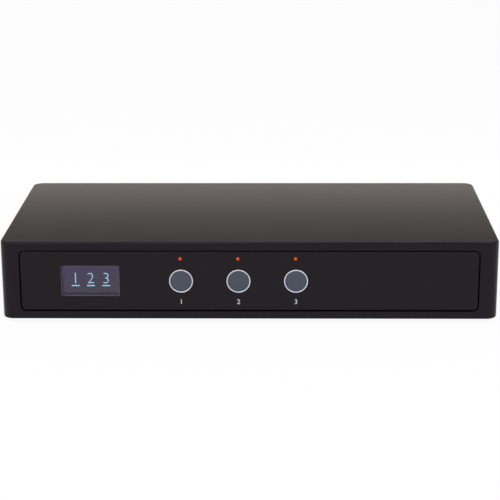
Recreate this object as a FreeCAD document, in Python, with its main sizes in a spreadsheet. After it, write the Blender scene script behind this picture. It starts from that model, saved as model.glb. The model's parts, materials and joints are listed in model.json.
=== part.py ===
import FreeCAD, Part
import math
import os
import re

import Sketcher

# Speaker selector switch: one amplifier's loudspeaker output goes to any of three zones.
# Millimetres. +X is to the right as the user faces the front, +Y runs from the front to the
# rear, +Z is up. The origin is under the middle of the object, on the surface it stands on.

Vector = FreeCAD.Vector
Rotation = FreeCAD.Rotation

# ---------------------------------------------------------------------------------------
# Driving sizes, kept in the document's spreadsheet
# ---------------------------------------------------------------------------------------

SIZES = {
    # case
    "case_width": 201.5,
    "case_depth": 98.8,
    "case_height": 32.3,
    "corner_radius": 4.5,
    "edge_chamfer": 0.35,
    "side_wall": 2.2,
    "end_wall": 3.6,
    "top_thickness": 2.2,
    "bezel_side": 7.8,
    "bezel_end": 3.45,
    "mouth_corner": 2.2,
    "mouth_chamfer": 0.2,
    "ledge_width": 1.2,
    "boss_inset": 4.95,
    "boss_setback": 2.5,
    "boss_radius": 3.4,
    "roof_rib_depth": 1.6,
    "roof_rib_thickness": 1.4,
    "roof_rib_spacing": 22.0,
    "rib_end_gap": 12.0,
    "overlap": 0.5,
    # base
    "base_thickness": 2.4,
    "base_gap": 0.2,
    "base_rib_depth": 1.8,
    "base_screw_radius": 1.45,
    "base_screw_length": 9.0,
    "base_screw_head_radius": 2.75,
    "base_screw_head_height": 1.3,
    "pilot_spare": 1.0,
    "screw_fit": 0.05,
    "hole_gap": 0.2,
    "head_room": 0.1,
    "foot_radius": 5.0,
    "foot_height": 2.0,
    "foot_taper": 0.6,
    "foot_inset_side": 16.75,
    "foot_inset_end": 18.0,
    # front and rear panels: outer hooks from the ends, inner ones from the outer ones
    "panel_thickness": 2.0,
    "panel_gap": 0.4,
    "panel_chamfer": 0.2,
    "hook_width": 8.0,
    "hook_thickness": 1.0,
    "hook_barb": 0.6,
    "hook_nose": 1.4,
    "hook_gap": 0.1,
    "hook_play": 0.05,
    "inner_hook_offset": 41.0,
    "outer_hook_offset": 7.55,
    # display, from the left end of the fascia
    "window_width": 23.7,
    "window_height": 12.75,
    "window_offset": 28.2,
    "window_gap": 0.05,
    "window_corner": 0.5,
    "glass_width": 26.7,
    "glass_thickness": 1.4,
    "glass_drop": 1.0,
    "glass_room": 0.5,
    "flex_width": 12.0,
    "flex_thickness": 0.25,
    "flex_bond": 1.5,
    "flex_edge_gap": 1.0,
    "flex_insertion": 2.0,
    "connector_width": 15.0,
    "connector_height": 3.4,
    "connector_depth": 1.2,
    "connector_rise": 1.5,
    "connector_slot_depth": 2.4,
    "connector_slot_gap": 0.1,
    # zone keys
    "key_spacing": 23.25,
    "key_offset": 4.3,
    "ring_radius": 4.83,
    "ring_wall": 0.55,
    "ring_proud": 0.3,
    "ring_length": 2.6,
    "key_fit": 0.08,
    "key_stop_gap": 0.1,
    "key_collar": 0.85,
    "key_travel": 0.3,
    "press_fit_gap": 0.05,
    "switch_size": 6.0,
    "switch_height": 3.5,
    "plunger_radius": 1.75,
    "plunger_proud": 0.8,
    "plunger_depth": 1.0,
    "well_spare": 0.3,
    # indicator light pipes, each a little to the left of its key
    "pipe_radius": 0.8,
    "pipe_proud": 0.5,
    "pipe_drop": 3.0,
    "pipe_shift": 0.2,
    "pipe_taper": 0.35,
    "led_gap": 0.15,
    "led_length": 2.0,
    "led_width": 1.25,
    "led_height": 0.8,
    # circuit boards
    "board_thickness": 1.6,
    "pillar_length": 6.4,
    "pillar_radius": 2.6,
    "pillar_inset": 5.0,
    "pillar_rise": 5.5,
    "front_board_margin": 4.3,
    "front_board_clearance": 1.0,
    "standoff_height": 4.0,
    "standoff_radius": 3.2,
    "board_gap": 2.2,
    "board_front_gap": 3.4,
    "board_rear_gap": 0.6,
    "board_screw_inset": 6.0,
    "board_screw_radius": 1.3,
    "board_screw_head_radius": 2.6,
    "board_screw_head_height": 1.6,
    "small_screw_radius": 1.0,
    "small_screw_grip": 3.6,
    "small_screw_head_radius": 1.9,
    "small_screw_head_height": 1.3,
    "screw_tip_gap": 0.4,
    # board-to-board link, from the right end of the main board
    "link_offset": 36.0,
    "link_pitch": 2.54,
    "link_pin": 0.64,
    "link_rise": 1.3,
    "link_setback": 2.0,
    "link_tail": 1.0,
    "pin_hole_gap": 0.1,
    # loudspeaker terminals, from the left end of the main board
    "socket_start": 26.0,
    "socket_spacing": 28.0,
    "terminal_pitch": 5.08,
    "socket_wall": 0.9,
    "socket_depth": 12.0,
    "socket_cavity": 8.6,
    "socket_proud": 0.4,
    "panel_cut_gap": 0.2,
    "coding_slot_width": 1.4,
    "coding_slot_length": 4.0,
    "slide_gap": 0.15,
    "nose_height": 6.4,
    "nose_length": 8.2,
    "plug_gap": 0.3,
    "plug_depth": 10.0,
    "plug_height": 15.0,
    "plug_lift": 0.4,
    "plug_edge": 0.5,
    "pin_size": 1.0,
    "pin_length": 7.0,
    "pin_tail": 1.0,
    "pin_slot_gap": 0.25,
    "clamp_width": 3.6,
    "clamp_depth": 4.2,
    "clamp_height": 5.0,
    "clamp_wall": 0.6,
    "clamp_fit": 0.1,
    "clamp_setback": 2.2,
    "wire_entry_width": 3.0,
    "wire_entry_height": 3.4,
    "terminal_screw_radius": 1.45,
    "screw_sink": 1.2,
    # power inlet, from the right end of the board, and trigger jack, from midway between
    # the inlet and the amplifier's socket
    "inlet_offset": 14.0,
    "inlet_width": 9.0,
    "inlet_depth": 13.6,
    "inlet_height": 10.8,
    "inlet_axis_rise": 6.4,
    "inlet_edge": 1.5,
    "inlet_barrel_radius": 4.4,
    "inlet_bore_radius": 3.0,
    "inlet_bore_depth": 9.5,
    "inlet_pin_radius": 1.0,
    "inlet_pin_recess": 1.0,
    "jack_offset": 2.645,
    "jack_width": 6.4,
    "jack_depth": 11.6,
    "jack_height": 6.4,
    "jack_axis_rise": 3.2,
    "jack_barrel_radius": 3.0,
    "jack_bore_radius": 1.8,
    "jack_bore_depth": 13.0,
    # parts on the main board
    "relay_length": 29.0,
    "relay_width": 12.7,
    "relay_height": 15.7,
    "relay_edge": 0.5,
    "relay_gap": 3.0,
    "radio_length": 25.5,
    "radio_width": 18.0,
    "radio_board_thickness": 0.8,
    "shield_length": 17.6,
    "shield_width": 15.8,
    "shield_height": 2.3,
    "shield_margin": 1.0,
    "radio_offset": 10.0,
    "radio_setback": 8.0,
    "capacitor_radius": 4.0,
    "capacitor_height": 11.5,
    "capacitor_spacing": 11.0,
    "capacitor_setback": 42.0,
    "driver_length": 10.3,
    "driver_width": 4.0,
    "driver_height": 1.5,
    "driver_rise": 0.15,
    "driver_leg_reach": 1.1,
    "driver_leg_width": 0.4,
    "driver_leg_height": 0.35,
    "driver_leg_pitch": 1.27,
    "driver_setback": 16.0,
}

ZONES = (1, 2, 3)
TERMINALS = ("amplifier", "zone_1", "zone_2", "zone_3")
WAYS = 4
LINK_PINS = 8
DRIVER_LEGS = 8
CORNERS = ((-1, -1), (-1, 1), (1, -1), (1, 1))

# How near two places must be to count as the same one.
TOUCH = 0.01

# Places and sizes that follow from the driving ones.
PLACES = {
    # along Y
    "rear_proud": "socket_proud + plug_gap + plug_depth",
    "front_y": "(pipe_proud - case_depth - rear_proud) / 2",
    "rear_y": "front_y + case_depth",
    "middle_y": "front_y + case_depth / 2",
    "panel_back_y": "front_y + panel_thickness",
    "front_board_y": "panel_back_y + pillar_length",
    "front_board_back_y": "front_board_y + board_thickness",
    "rear_panel_y": "rear_y - panel_thickness",
    "rear_wall_y": "rear_y - end_wall",
    "mouth_y": "rear_y + socket_proud",
    "socket_back_y": "mouth_y - socket_depth",
    "plug_y": "mouth_y + plug_gap",
    "pin_root_y": "mouth_y - socket_cavity",
    "pin_tail_y": "socket_back_y - pin_size",
    "clamp_y": "plug_y + clamp_setback",
    "main_board_y": "front_board_back_y + board_front_gap",
    "main_board_end_y": "rear_wall_y - board_rear_gap",
    "boss_reach": "end_wall + boss_setback + boss_radius",
    "link_down_y": "main_board_y + link_setback - link_pin",
    # along Z
    "underside_z": "foot_height",
    "base_top_z": "underside_z + base_thickness",
    "panel_z": "underside_z + case_height / 2",
    "main_board_z": "base_top_z + standoff_height",
    "board_top_z": "main_board_z + board_thickness",
    "glass_z": "panel_z - glass_drop",
    "pipe_rise": "panel_height / 2 - pipe_drop",
    "link_z": "board_top_z + link_rise",
    "nose_z": "board_top_z + socket_wall + slide_gap",
    "nose_axis_z": "nose_z + nose_height / 2",
    "clamp_z": "nose_axis_z - clamp_height / 2",
    "plug_z": "board_top_z + plug_lift",
    # across X
    "boss_x": "case_width / 2 - side_wall - boss_inset",
    "board_half_width": "boss_x - boss_radius - board_gap",
    "board_screw_x": "board_half_width - board_screw_inset",
    "foot_x": "case_width / 2 - foot_inset_side",
    "window_x": "window_offset - panel_width / 2",
    "outer_hook_x": "panel_width / 2 - outer_hook_offset",
    "inner_hook_x": "outer_hook_x - inner_hook_offset",
    "link_middle_x": "board_half_width - link_offset",
    "zone_3_x": "socket_start - board_half_width",
    "amplifier_x": "zone_3_x + %d * socket_spacing" % (len(TERMINALS) - 1),
    "inlet_x": "board_half_width - inlet_offset",
    "jack_x": "(amplifier_x + socket_width / 2 + inlet_x - inlet_width / 2) / 2 + jack_offset",
    # sizes
    "mouth_width": "case_width - 2 * bezel_side",
    "mouth_height": "case_height - 2 * bezel_end",
    "panel_width": "mouth_width - 2 * panel_gap",
    "panel_height": "mouth_height - 2 * panel_gap",
    "inner_width": "panel_width - 2 * ledge_width",
    "inner_height": "panel_height - 2 * ledge_width",
    "glass_height": "inner_height - 2 * glass_drop - 2 * glass_room",
    "ring_bore": "ring_radius - ring_wall",
    "ring_hole": "ring_radius + press_fit_gap",
    "key_radius": "ring_bore - key_fit",
    "collar_start": "ring_length + key_stop_gap",
    "plunger_tip": "panel_thickness + pillar_length - switch_height - plunger_proud",
    "pillar_x": "front_board_width / 2 - pillar_inset",
    "front_board_width": "panel_width - 2 * front_board_margin",
    "front_board_height": "inner_height - 2 * front_board_clearance",
    "plug_width": "%d * terminal_pitch" % WAYS,
    "cavity_width": "plug_width + 2 * slide_gap",
    "cavity_height": "nose_height + 2 * slide_gap",
    "socket_width": "cavity_width + 2 * socket_wall",
    "socket_height": "cavity_height + 2 * socket_wall",
    "link_width": "%d * link_pitch" % LINK_PINS,
    "main_board_depth": "main_board_end_y - main_board_y",
}


def formula(text):
    """Turn plain size names into an expression on the spreadsheet."""
    def swap(match):
        word = match.group(0)
        if word in PLACES:
            return "(" + formula(PLACES[word]) + ")"
        if word in SIZES:
            return "sizes." + word
        raise KeyError("no size is called " + word)
    return re.sub(r"[a-z][a-z0-9_]*", swap, str(text))


def value(text):
    """The present value of a formula."""
    return float(sheet.evalExpression(formula(text)))


def bind(item, **formulas):
    """Tie properties of an object to the spreadsheet."""
    for name, text in formulas.items():
        item.setExpression(name, formula(text))


def place(item, x="0", y="0", z="0", turn=None):
    """Tie an object's place to the spreadsheet."""
    if turn is not None:
        item.Placement = FreeCAD.Placement(Vector(0, 0, 0), turn)
    for axis, text in zip("xyz", (x, y, z)):
        item.setExpression("Placement.Base." + axis, formula(text))


# ---------------------------------------------------------------------------------------
# Part primitives
# ---------------------------------------------------------------------------------------

TO_REAR = Rotation(Vector(1, 0, 0), -90)


def block(name, width, depth, height, x, y, z):
    """A box, centred on x, whose front is at y and whose underside is at z."""
    item = doc.addObject("Part::Box", name)
    bind(item, Length=width, Width=depth, Height=height)
    place(item, "(%s) - (%s) / 2" % (x, width), y, z)
    return item


def rod(name, radius, length, x, y, z, turn=None):
    """A cylinder that starts at the point given, upwards unless it is turned."""
    item = doc.addObject("Part::Cylinder", name)
    bind(item, Radius=radius, Height=length)
    place(item, x, y, z, turn)
    return item


def prism(name, sides, radius, length, x, y, z, turn=None):
    """A regular prism that starts at the point given, upwards unless it is turned."""
    item = doc.addObject("Part::Prism", name)
    item.Polygon = sides
    bind(item, Circumradius=radius, Height=length)
    place(item, x, y, z, turn)
    return item


def fuse(name, items):
    item = doc.addObject("Part::MultiFuse", name)
    item.Shapes = items
    item.Refine = True
    return item


def cut(name, base, tools):
    item = doc.addObject("Part::Cut", name)
    item.Base = base
    item.Tool = tools[0] if len(tools) == 1 else fuse(name + "_tools", tools)
    return item


def group(name, items):
    """Separate solids that share one node."""
    item = doc.addObject("Part::Compound", name)
    item.Links = items
    return item


def chamfered(name, base, length, chosen):
    """A chamfer on the chosen edges of a solid."""
    doc.recompute()
    item = doc.addObject("Part::Chamfer", name)
    item.Base = base
    size = value(length)
    numbers = [n for n, edge in enumerate(base.Shape.Edges, 1) if chosen(edge)]
    item.Edges = [(n, size, size) for n in numbers]
    return item


# ---------------------------------------------------------------------------------------
# Part design helpers
# ---------------------------------------------------------------------------------------

def new_body(name):
    return doc.addObject("PartDesign::Body", name)


def sketch_on(body, name, role, offset="0"):
    """An empty sketch on one of the body's own origin planes."""
    sketch = body.newObject("Sketcher::SketchObject", name)
    planes = [plane for plane in body.Origin.OriginFeatures if plane.Role == role]
    sketch.AttachmentSupport = [(planes[0], "")]
    sketch.MapMode = "FlatFace"
    sketch.setExpression("AttachmentOffset.Base.z", formula(offset))
    return sketch


def fix(sketch, kind, where, text):
    """Add one dimension whose size follows a formula."""
    number = sketch.addConstraint(Sketcher.Constraint(kind, *where, value(text)))
    sketch.renameConstraint(number, "d%d" % number)
    sketch.setExpression("Constraints.d%d" % number, formula(text))


def add_circle(sketch, radius, x="0", y="0"):
    centre = Vector(value(x), value(y), 0)
    ring = sketch.addGeometry(Part.Circle(centre, Vector(0, 0, 1), value(radius)), False)
    fix(sketch, "DistanceX", (-1, 1, ring, 3), x)
    fix(sketch, "DistanceY", (-1, 1, ring, 3), y)
    fix(sketch, "Radius", (ring,), radius)


def add_polygon(sketch, sides, radius, x="0", y="0"):
    """A regular polygon with its corners at this radius about x, y."""
    corners = []
    for number in range(sides):
        turn = 2 * math.pi * number / sides
        corners.append(("(%s) + %.5f * (%s)" % (x, math.cos(turn), radius),
                        "(%s) + %.5f * (%s)" % (y, math.sin(turn), radius)))
    add_outline(sketch, corners)


def add_outline(sketch, points):
    """A closed outline of straight lines through points given as pairs of formulas."""
    places = [Vector(value(x), value(y), 0) for x, y in points]
    lines = []
    for here, there in zip(places, places[1:] + places[:1]):
        lines.append(sketch.addGeometry(Part.LineSegment(here, there), False))
    for line, following in zip(lines, lines[1:] + lines[:1]):
        sketch.addConstraint(Sketcher.Constraint("Coincident", line, 2, following, 1))
    for line, (x, y) in zip(lines, points):
        fix(sketch, "DistanceX", (-1, 1, line, 1), x)
        fix(sketch, "DistanceY", (-1, 1, line, 1), y)


def add_rectangle(sketch, width, height, x="0", y="0"):
    """A rectangle with its centre at x, y."""
    left = "(%s) - (%s) / 2" % (x, width)
    right = "(%s) + (%s) / 2" % (x, width)
    low = "(%s) - (%s) / 2" % (y, height)
    high = "(%s) + (%s) / 2" % (y, height)
    add_outline(sketch, ((left, low), (right, low), (right, high), (left, high)))


def add_rounded_rectangle(sketch, width, height, radius, x="0", y="0"):
    """A rectangle with its centre at x, y and four round corners."""
    half_x, half_y, bend = value(width) / 2, value(height) / 2, value(radius)
    middle = Vector(value(x), value(y), 0)
    quarters = ((1, 1, 0), (-1, 1, 90), (-1, -1, 180), (1, -1, 270))
    arcs = []
    for side_x, side_y, start in quarters:
        centre = middle + Vector(side_x * (half_x - bend), side_y * (half_y - bend), 0)
        circle = Part.Circle(centre, Vector(0, 0, 1), bend)
        arc = Part.ArcOfCircle(circle, math.radians(start), math.radians(start + 90))
        arcs.append(sketch.addGeometry(arc, False))
    lines = []
    for arc, following in zip(arcs, arcs[1:] + arcs[:1]):
        here = sketch.getPoint(arc, 2)
        there = sketch.getPoint(following, 1)
        line = sketch.addGeometry(Part.LineSegment(here, there), False)
        sketch.addConstraint(Sketcher.Constraint("Tangent", arc, 2, line, 1))
        sketch.addConstraint(Sketcher.Constraint("Tangent", line, 2, following, 1))
        lines.append(line)
    for line in (lines[0], lines[2]):
        sketch.addConstraint(Sketcher.Constraint("Horizontal", line))
    for line in (lines[1], lines[3]):
        sketch.addConstraint(Sketcher.Constraint("Vertical", line))
    for arc in arcs[1:]:
        sketch.addConstraint(Sketcher.Constraint("Equal", arcs[0], arc))
    fix(sketch, "Radius", (arcs[0],), radius)
    fix(sketch, "DistanceX", (-1, 1, lines[3], 1), "(%s) + (%s) / 2" % (x, width))
    fix(sketch, "DistanceX", (-1, 1, lines[1], 1), "(%s) - (%s) / 2" % (x, width))
    fix(sketch, "DistanceY", (-1, 1, lines[0], 1), "(%s) + (%s) / 2" % (y, height))
    fix(sketch, "DistanceY", (-1, 1, lines[2], 1), "(%s) - (%s) / 2" % (y, height))


def grow(body, kind, sketch, length, backwards=False):
    """A pad or a pocket made from a sketch, with a check that it changed the solid."""
    doc.recompute()
    before = body.Shape.Volume if body.Tip else 0.0
    feature = body.newObject("PartDesign::" + kind, sketch.Name + "_" + kind.lower())
    feature.Profile = sketch
    feature.Reversed = backwards
    bind(feature, Length=length)
    doc.recompute()
    change = feature.Shape.Volume - before
    if (kind == "Pad" and change <= 0) or (kind == "Pocket" and change >= 0):
        raise ValueError(feature.Name + " changed nothing")
    return feature


def spin(body, sketch):
    """A full turn of a sketch about its upright axis."""
    doc.recompute()
    feature = body.newObject("PartDesign::Revolution", sketch.Name + "_turn")
    feature.Profile = sketch
    feature.ReferenceAxis = (sketch, ["V_Axis"])
    feature.Angle = 360
    doc.recompute()
    return feature


def dress(body, kind, size, chosen):
    """A fillet or a chamfer on the chosen edges of the body's last feature."""
    doc.recompute()
    last = body.Tip
    names = ["Edge%d" % n for n, edge in enumerate(last.Shape.Edges, 1) if chosen(edge)]
    if not names:
        raise ValueError("no edge found on " + body.Name)
    name = "%s_%s_%d" % (body.Name, kind.lower(), len(body.Group))
    feature = body.newObject("PartDesign::" + kind, name)
    feature.Base = (last, names)
    if kind == "Fillet":
        bind(feature, Radius=size)
    else:
        bind(feature, Size=size)
    doc.recompute()
    return feature


def spans(edge, axis, at):
    """Whether an edge lies wholly in the plane where the axis has this value."""
    box = edge.BoundBox
    ends = {"x": (box.XMin, box.XMax), "y": (box.YMin, box.YMax), "z": (box.ZMin, box.ZMax)}
    low, high = ends[axis]
    return abs(low - at) < TOUCH and abs(high - at) < TOUCH


# ---------------------------------------------------------------------------------------
# Case
# ---------------------------------------------------------------------------------------

def make_top_shell():
    """Five-sided moulding: roof, two sides, and a front and rear frame for the panels."""
    body = new_body("top_shell")
    outline = sketch_on(body, "shell_outline", "XY_Plane")
    add_rounded_rectangle(outline, "case_width", "case_depth", "corner_radius", "0", "case_depth / 2")
    grow(body, "Pad", outline, "case_height")
    top = value("case_height")
    dress(body, "Chamfer", "edge_chamfer", lambda e: spans(e, "z", top) or spans(e, "z", 0))

    hollow = sketch_on(body, "shell_hollow", "XY_Plane")
    add_rounded_rectangle(hollow, "case_width - 2 * side_wall", "case_depth - 2 * end_wall",
                          "corner_radius - side_wall", "0", "case_depth / 2")
    grow(body, "Pocket", hollow, "case_height - top_thickness", backwards=True)

    for end, offset, backwards in (("front", "0", False), ("rear", "-case_depth", True)):
        recess = sketch_on(body, end + "_recess", "XZ_Plane", offset)
        add_rounded_rectangle(recess, "mouth_width", "mouth_height", "mouth_corner",
                              "0", "case_height / 2")
        grow(body, "Pocket", recess, "panel_thickness", backwards)
        opening = sketch_on(body, end + "_opening", "XZ_Plane", offset)
        add_rectangle(opening, "inner_width", "inner_height", "0", "case_height / 2")
        grow(body, "Pocket", opening, "end_wall + overlap", backwards)

    bosses = sketch_on(body, "screw_bosses", "XY_Plane", "base_thickness")
    for side, end in CORNERS:
        add_polygon(bosses, 12, "boss_radius", "%d * boss_x" % side, boss_depth(end))
    grow(body, "Pad", bosses, "case_height - top_thickness - base_thickness + overlap")
    pilots = sketch_on(body, "screw_pilots", "XY_Plane", "base_thickness")
    for side, end in CORNERS:
        add_polygon(pilots, 6, "base_screw_radius + screw_fit", "%d * boss_x" % side, boss_depth(end))
    grow(body, "Pocket", pilots, "base_screw_length + pilot_spare", backwards=True)

    ribs = sketch_on(body, "roof_ribs", "XY_Plane", "case_height - top_thickness - roof_rib_depth")
    for step in (-1, 0, 1):
        add_rectangle(ribs, "case_width - 2 * side_wall - 2 * rib_end_gap", "roof_rib_thickness",
                      "0", "case_depth / 2 + %d * roof_rib_spacing" % step)
    grow(body, "Pad", ribs, "roof_rib_depth + overlap")

    depth = value("case_depth")
    side = value("mouth_width / 2") + TOUCH
    low = value("bezel_end") - TOUCH

    def mouth_edge(edge):
        box = edge.BoundBox
        on_face = spans(edge, "y", 0) or spans(edge, "y", depth)
        across = abs(box.XMin) < side and abs(box.XMax) < side
        return on_face and across and box.ZMin > low and box.ZMax < top - low

    dress(body, "Chamfer", "mouth_chamfer", mouth_edge)
    place(body, "0", "front_y", "underside_z")


def boss_depth(end):
    """Depth of a screw boss behind the front face, for the front (-1) or the rear (1)."""
    return "boss_reach" if end < 0 else "case_depth - boss_reach"


def make_base_plate():
    """Bottom cover with standoffs for the main board, stiffening ribs and screw holes."""
    body = new_body("base_plate")
    width = "case_width - 2 * side_wall - 2 * base_gap"
    depth = "case_depth - 2 * end_wall - 2 * base_gap"
    outline = sketch_on(body, "base_outline", "XY_Plane")
    add_rounded_rectangle(outline, width, depth, "corner_radius - side_wall - base_gap")
    grow(body, "Pad", outline, "base_thickness")

    standoffs = sketch_on(body, "standoffs", "XY_Plane", "base_thickness - overlap")
    for side, end in CORNERS:
        add_polygon(standoffs, 6, "standoff_radius", "%d * board_screw_x" % side, standoff_depth(end))
    grow(body, "Pad", standoffs, "standoff_height + overlap")

    ribs = sketch_on(body, "base_ribs", "XY_Plane", "base_thickness - overlap")
    for step in (-1, 0, 1):
        add_rectangle(ribs, "2 * board_screw_x - 2 * rib_end_gap", "roof_rib_thickness",
                      "0", "%d * roof_rib_spacing" % step)
    grow(body, "Pad", ribs, "base_rib_depth + overlap")

    pilots = sketch_on(body, "standoff_pilots", "XY_Plane", "base_thickness")
    for side, end in CORNERS:
        add_polygon(pilots, 6, "board_screw_radius + screw_fit", "%d * board_screw_x" % side,
                    standoff_depth(end))
    grow(body, "Pocket", pilots, "standoff_height", backwards=True)

    clearance = sketch_on(body, "clearance_holes", "XY_Plane")
    counterbores = sketch_on(body, "counterbores", "XY_Plane")
    for side, end in CORNERS:
        where = ("%d * boss_x" % side, "%d * (case_depth / 2 - boss_reach)" % end)
        add_polygon(clearance, 6, "base_screw_radius + hole_gap", *where)
        add_polygon(counterbores, 12, "base_screw_head_radius + hole_gap", *where)
    grow(body, "Pocket", clearance, "base_thickness", backwards=True)
    grow(body, "Pocket", counterbores, "base_screw_head_height + head_room", backwards=True)
    place(body, "0", "middle_y", "underside_z")


def standoff_depth(end):
    """Depth of a standoff from the middle of the base, for the front (-1) or the rear (1)."""
    if end < 0:
        return "main_board_y + board_screw_inset - middle_y"
    return "main_board_end_y - board_screw_inset - middle_y"


def make_rubber_feet():
    """Four tapered feet stuck under the base."""
    feet = []
    for number, (side, end) in enumerate(CORNERS, 1):
        foot = doc.addObject("Part::Cone", "foot_%d" % number)
        bind(foot, Radius1="foot_radius - foot_taper", Radius2="foot_radius", Height="foot_height")
        place(foot, "%d * foot_x" % side,
              "middle_y + %d * (case_depth / 2 - foot_inset_end)" % end, "0")
        feet.append(foot)
    group("rubber_feet", feet)


def make_base_screws():
    """Screws that come up through the base into the bosses of the shell."""
    screws = []
    for number, (side, end) in enumerate(CORNERS, 1):
        screws.append(make_screw(
            "base_screw_%d" % number, 12, "base_screw_radius", "base_screw_length",
            "base_screw_head_radius", "base_screw_head_height", "%d * boss_x" % side,
            "middle_y + %d * (case_depth / 2 - boss_reach)" % end,
            "underside_z + base_screw_head_height + head_room"))
    group("base_screws", screws)


def make_screw(name, sides, radius, length, head_radius, head_height, x, y, z, turn=None):
    """A screw with its bearing face at the point given and its shank along its own +Z."""
    head = prism(name + "_head", sides, head_radius, head_height, "0", "0", "-(%s)" % head_height)
    shank = prism(name + "_shank", 6, radius, length, "0", "0", "0")
    screw = fuse(name, [head, shank])
    place(screw, x, y, z, turn)
    return screw


def key_x(zone):
    """Distance of a zone's key from the middle of the case."""
    return "%d * key_spacing - key_offset" % (zone - 2)


def pipe_x(zone):
    """Distance of a zone's light pipe and lamp from the middle of the case."""
    return key_x(zone) + " - pipe_shift"


def terminal_x(number):
    """Distance of a terminal block from the middle: 0 is the amplifier, then the zones."""
    return "amplifier_x - %d * socket_spacing" % number


def make_front_panel():
    """Inset fascia with the display window, key and indicator holes, pillars and snap hooks."""
    body = new_body("front_panel")
    outline = sketch_on(body, "fascia_outline", "XZ_Plane")
    add_rounded_rectangle(outline, "panel_width", "panel_height", "mouth_corner - panel_gap")
    grow(body, "Pad", outline, "panel_thickness", backwards=True)
    dress(body, "Chamfer", "panel_chamfer", lambda e: spans(e, "y", 0))

    window = sketch_on(body, "display_cutout", "XZ_Plane")
    add_rounded_rectangle(window, "window_width + 2 * window_gap", "window_height + 2 * window_gap",
                          "window_corner + window_gap", "window_x")
    grow(body, "Pocket", window, "panel_thickness")
    holes = sketch_on(body, "key_holes", "XZ_Plane")
    for zone in ZONES:
        add_circle(holes, "ring_hole", key_x(zone))
        add_circle(holes, "pipe_radius + press_fit_gap", pipe_x(zone), "pipe_rise")
    grow(body, "Pocket", holes, "panel_thickness")

    pillars = sketch_on(body, "fascia_pillars", "XZ_Plane", "overlap - panel_thickness")
    for side, level in CORNERS:
        add_polygon(pillars, 6, "pillar_radius", "%d * pillar_x" % side, "%d * pillar_rise" % level)
    grow(body, "Pad", pillars, "pillar_length + overlap", backwards=True)
    pilots = sketch_on(body, "fascia_pilots", "XZ_Plane", "-panel_thickness - pillar_length")
    for side, level in CORNERS:
        add_polygon(pilots, 6, "small_screw_radius + screw_fit", "%d * pillar_x" % side,
                    "%d * pillar_rise" % level)
    grow(body, "Pocket", pilots, "small_screw_grip + pilot_spare", backwards=True)
    add_hooks(body, "fascia")
    place(body, "0", "front_y", "panel_z")


def add_hooks(body, name):
    """Snap hooks in pairs above and below, which catch behind the ledge of the case."""
    lip = "inner_height / 2 - hook_gap"
    root = "panel_thickness - overlap"
    grip = "end_wall + hook_play"
    nose = "end_wall + hook_nose"
    middles = ("-outer_hook_x", "-inner_hook_x", "inner_hook_x", "outer_hook_x")
    for number, middle in enumerate(middles, 1):
        for level in (-1, 1):
            row = "low" if level < 0 else "high"
            hook = sketch_on(body, "%s_hook_%d_%s" % (name, number, row), "YZ_Plane",
                             "%s - hook_width / 2" % middle)
            outer = "%d * (%s)" % (level, lip)
            inner = "%d * (%s - hook_thickness)" % (level, lip)
            barb = "%d * (%s + hook_barb)" % (level, lip)
            add_outline(hook, ((root, inner), (root, outer), (grip, outer), (grip, barb),
                               (nose, outer), (nose, inner)))
            grow(body, "Pad", hook, "hook_width")


def make_rear_panel():
    """Inset rear panel with openings for the four terminal blocks, the inlet and the jack."""
    body = new_body("rear_panel")
    outline = sketch_on(body, "rear_outline", "XZ_Plane")
    add_rounded_rectangle(outline, "panel_width", "panel_height", "mouth_corner - panel_gap")
    grow(body, "Pad", outline, "panel_thickness")
    dress(body, "Chamfer", "panel_chamfer", lambda e: spans(e, "y", 0))
    openings = sketch_on(body, "terminal_openings", "XZ_Plane")
    for number in range(len(TERMINALS)):
        add_rectangle(openings, "socket_width + 2 * panel_cut_gap",
                      "socket_height + 2 * panel_cut_gap", terminal_x(number),
                      "board_top_z + socket_height / 2 - panel_z")
    grow(body, "Pocket", openings, "panel_thickness", backwards=True)
    holes = sketch_on(body, "connector_holes", "XZ_Plane")
    add_circle(holes, "inlet_barrel_radius + panel_cut_gap", "inlet_x",
               "board_top_z + inlet_axis_rise - panel_z")
    add_circle(holes, "jack_barrel_radius + panel_cut_gap", "jack_x",
               "board_top_z + jack_axis_rise - panel_z")
    grow(body, "Pocket", holes, "panel_thickness", backwards=True)
    place(body, "0", "rear_y", "panel_z")


# ---------------------------------------------------------------------------------------
# Display
# ---------------------------------------------------------------------------------------

def make_display():
    """Clear window in the fascia, display glass behind it, and the flex to its connector."""
    body = new_body("display_window")
    pane = sketch_on(body, "window_outline", "XZ_Plane")
    add_rounded_rectangle(pane, "window_width", "window_height", "window_corner")
    grow(body, "Pad", pane, "panel_thickness", backwards=True)
    place(body, "window_x", "front_y", "panel_z")

    block("display_glass", "glass_width", "glass_thickness", "glass_height", "window_x",
          "panel_back_y", "glass_z - glass_height / 2")
    connector = block("connector_block", "connector_width", "connector_depth", "connector_height",
                      "window_x", "front_board_y - connector_depth",
                      "glass_z + connector_rise")
    slot = block("connector_slot", "flex_width + 2 * connector_slot_gap",
                 "flex_thickness + 2 * connector_slot_gap", "connector_slot_depth", "window_x",
                 "front_board_y - connector_depth / 2 - flex_thickness / 2 - connector_slot_gap",
                 "glass_z + connector_rise")
    cut("display_connector", connector, [slot])


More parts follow.
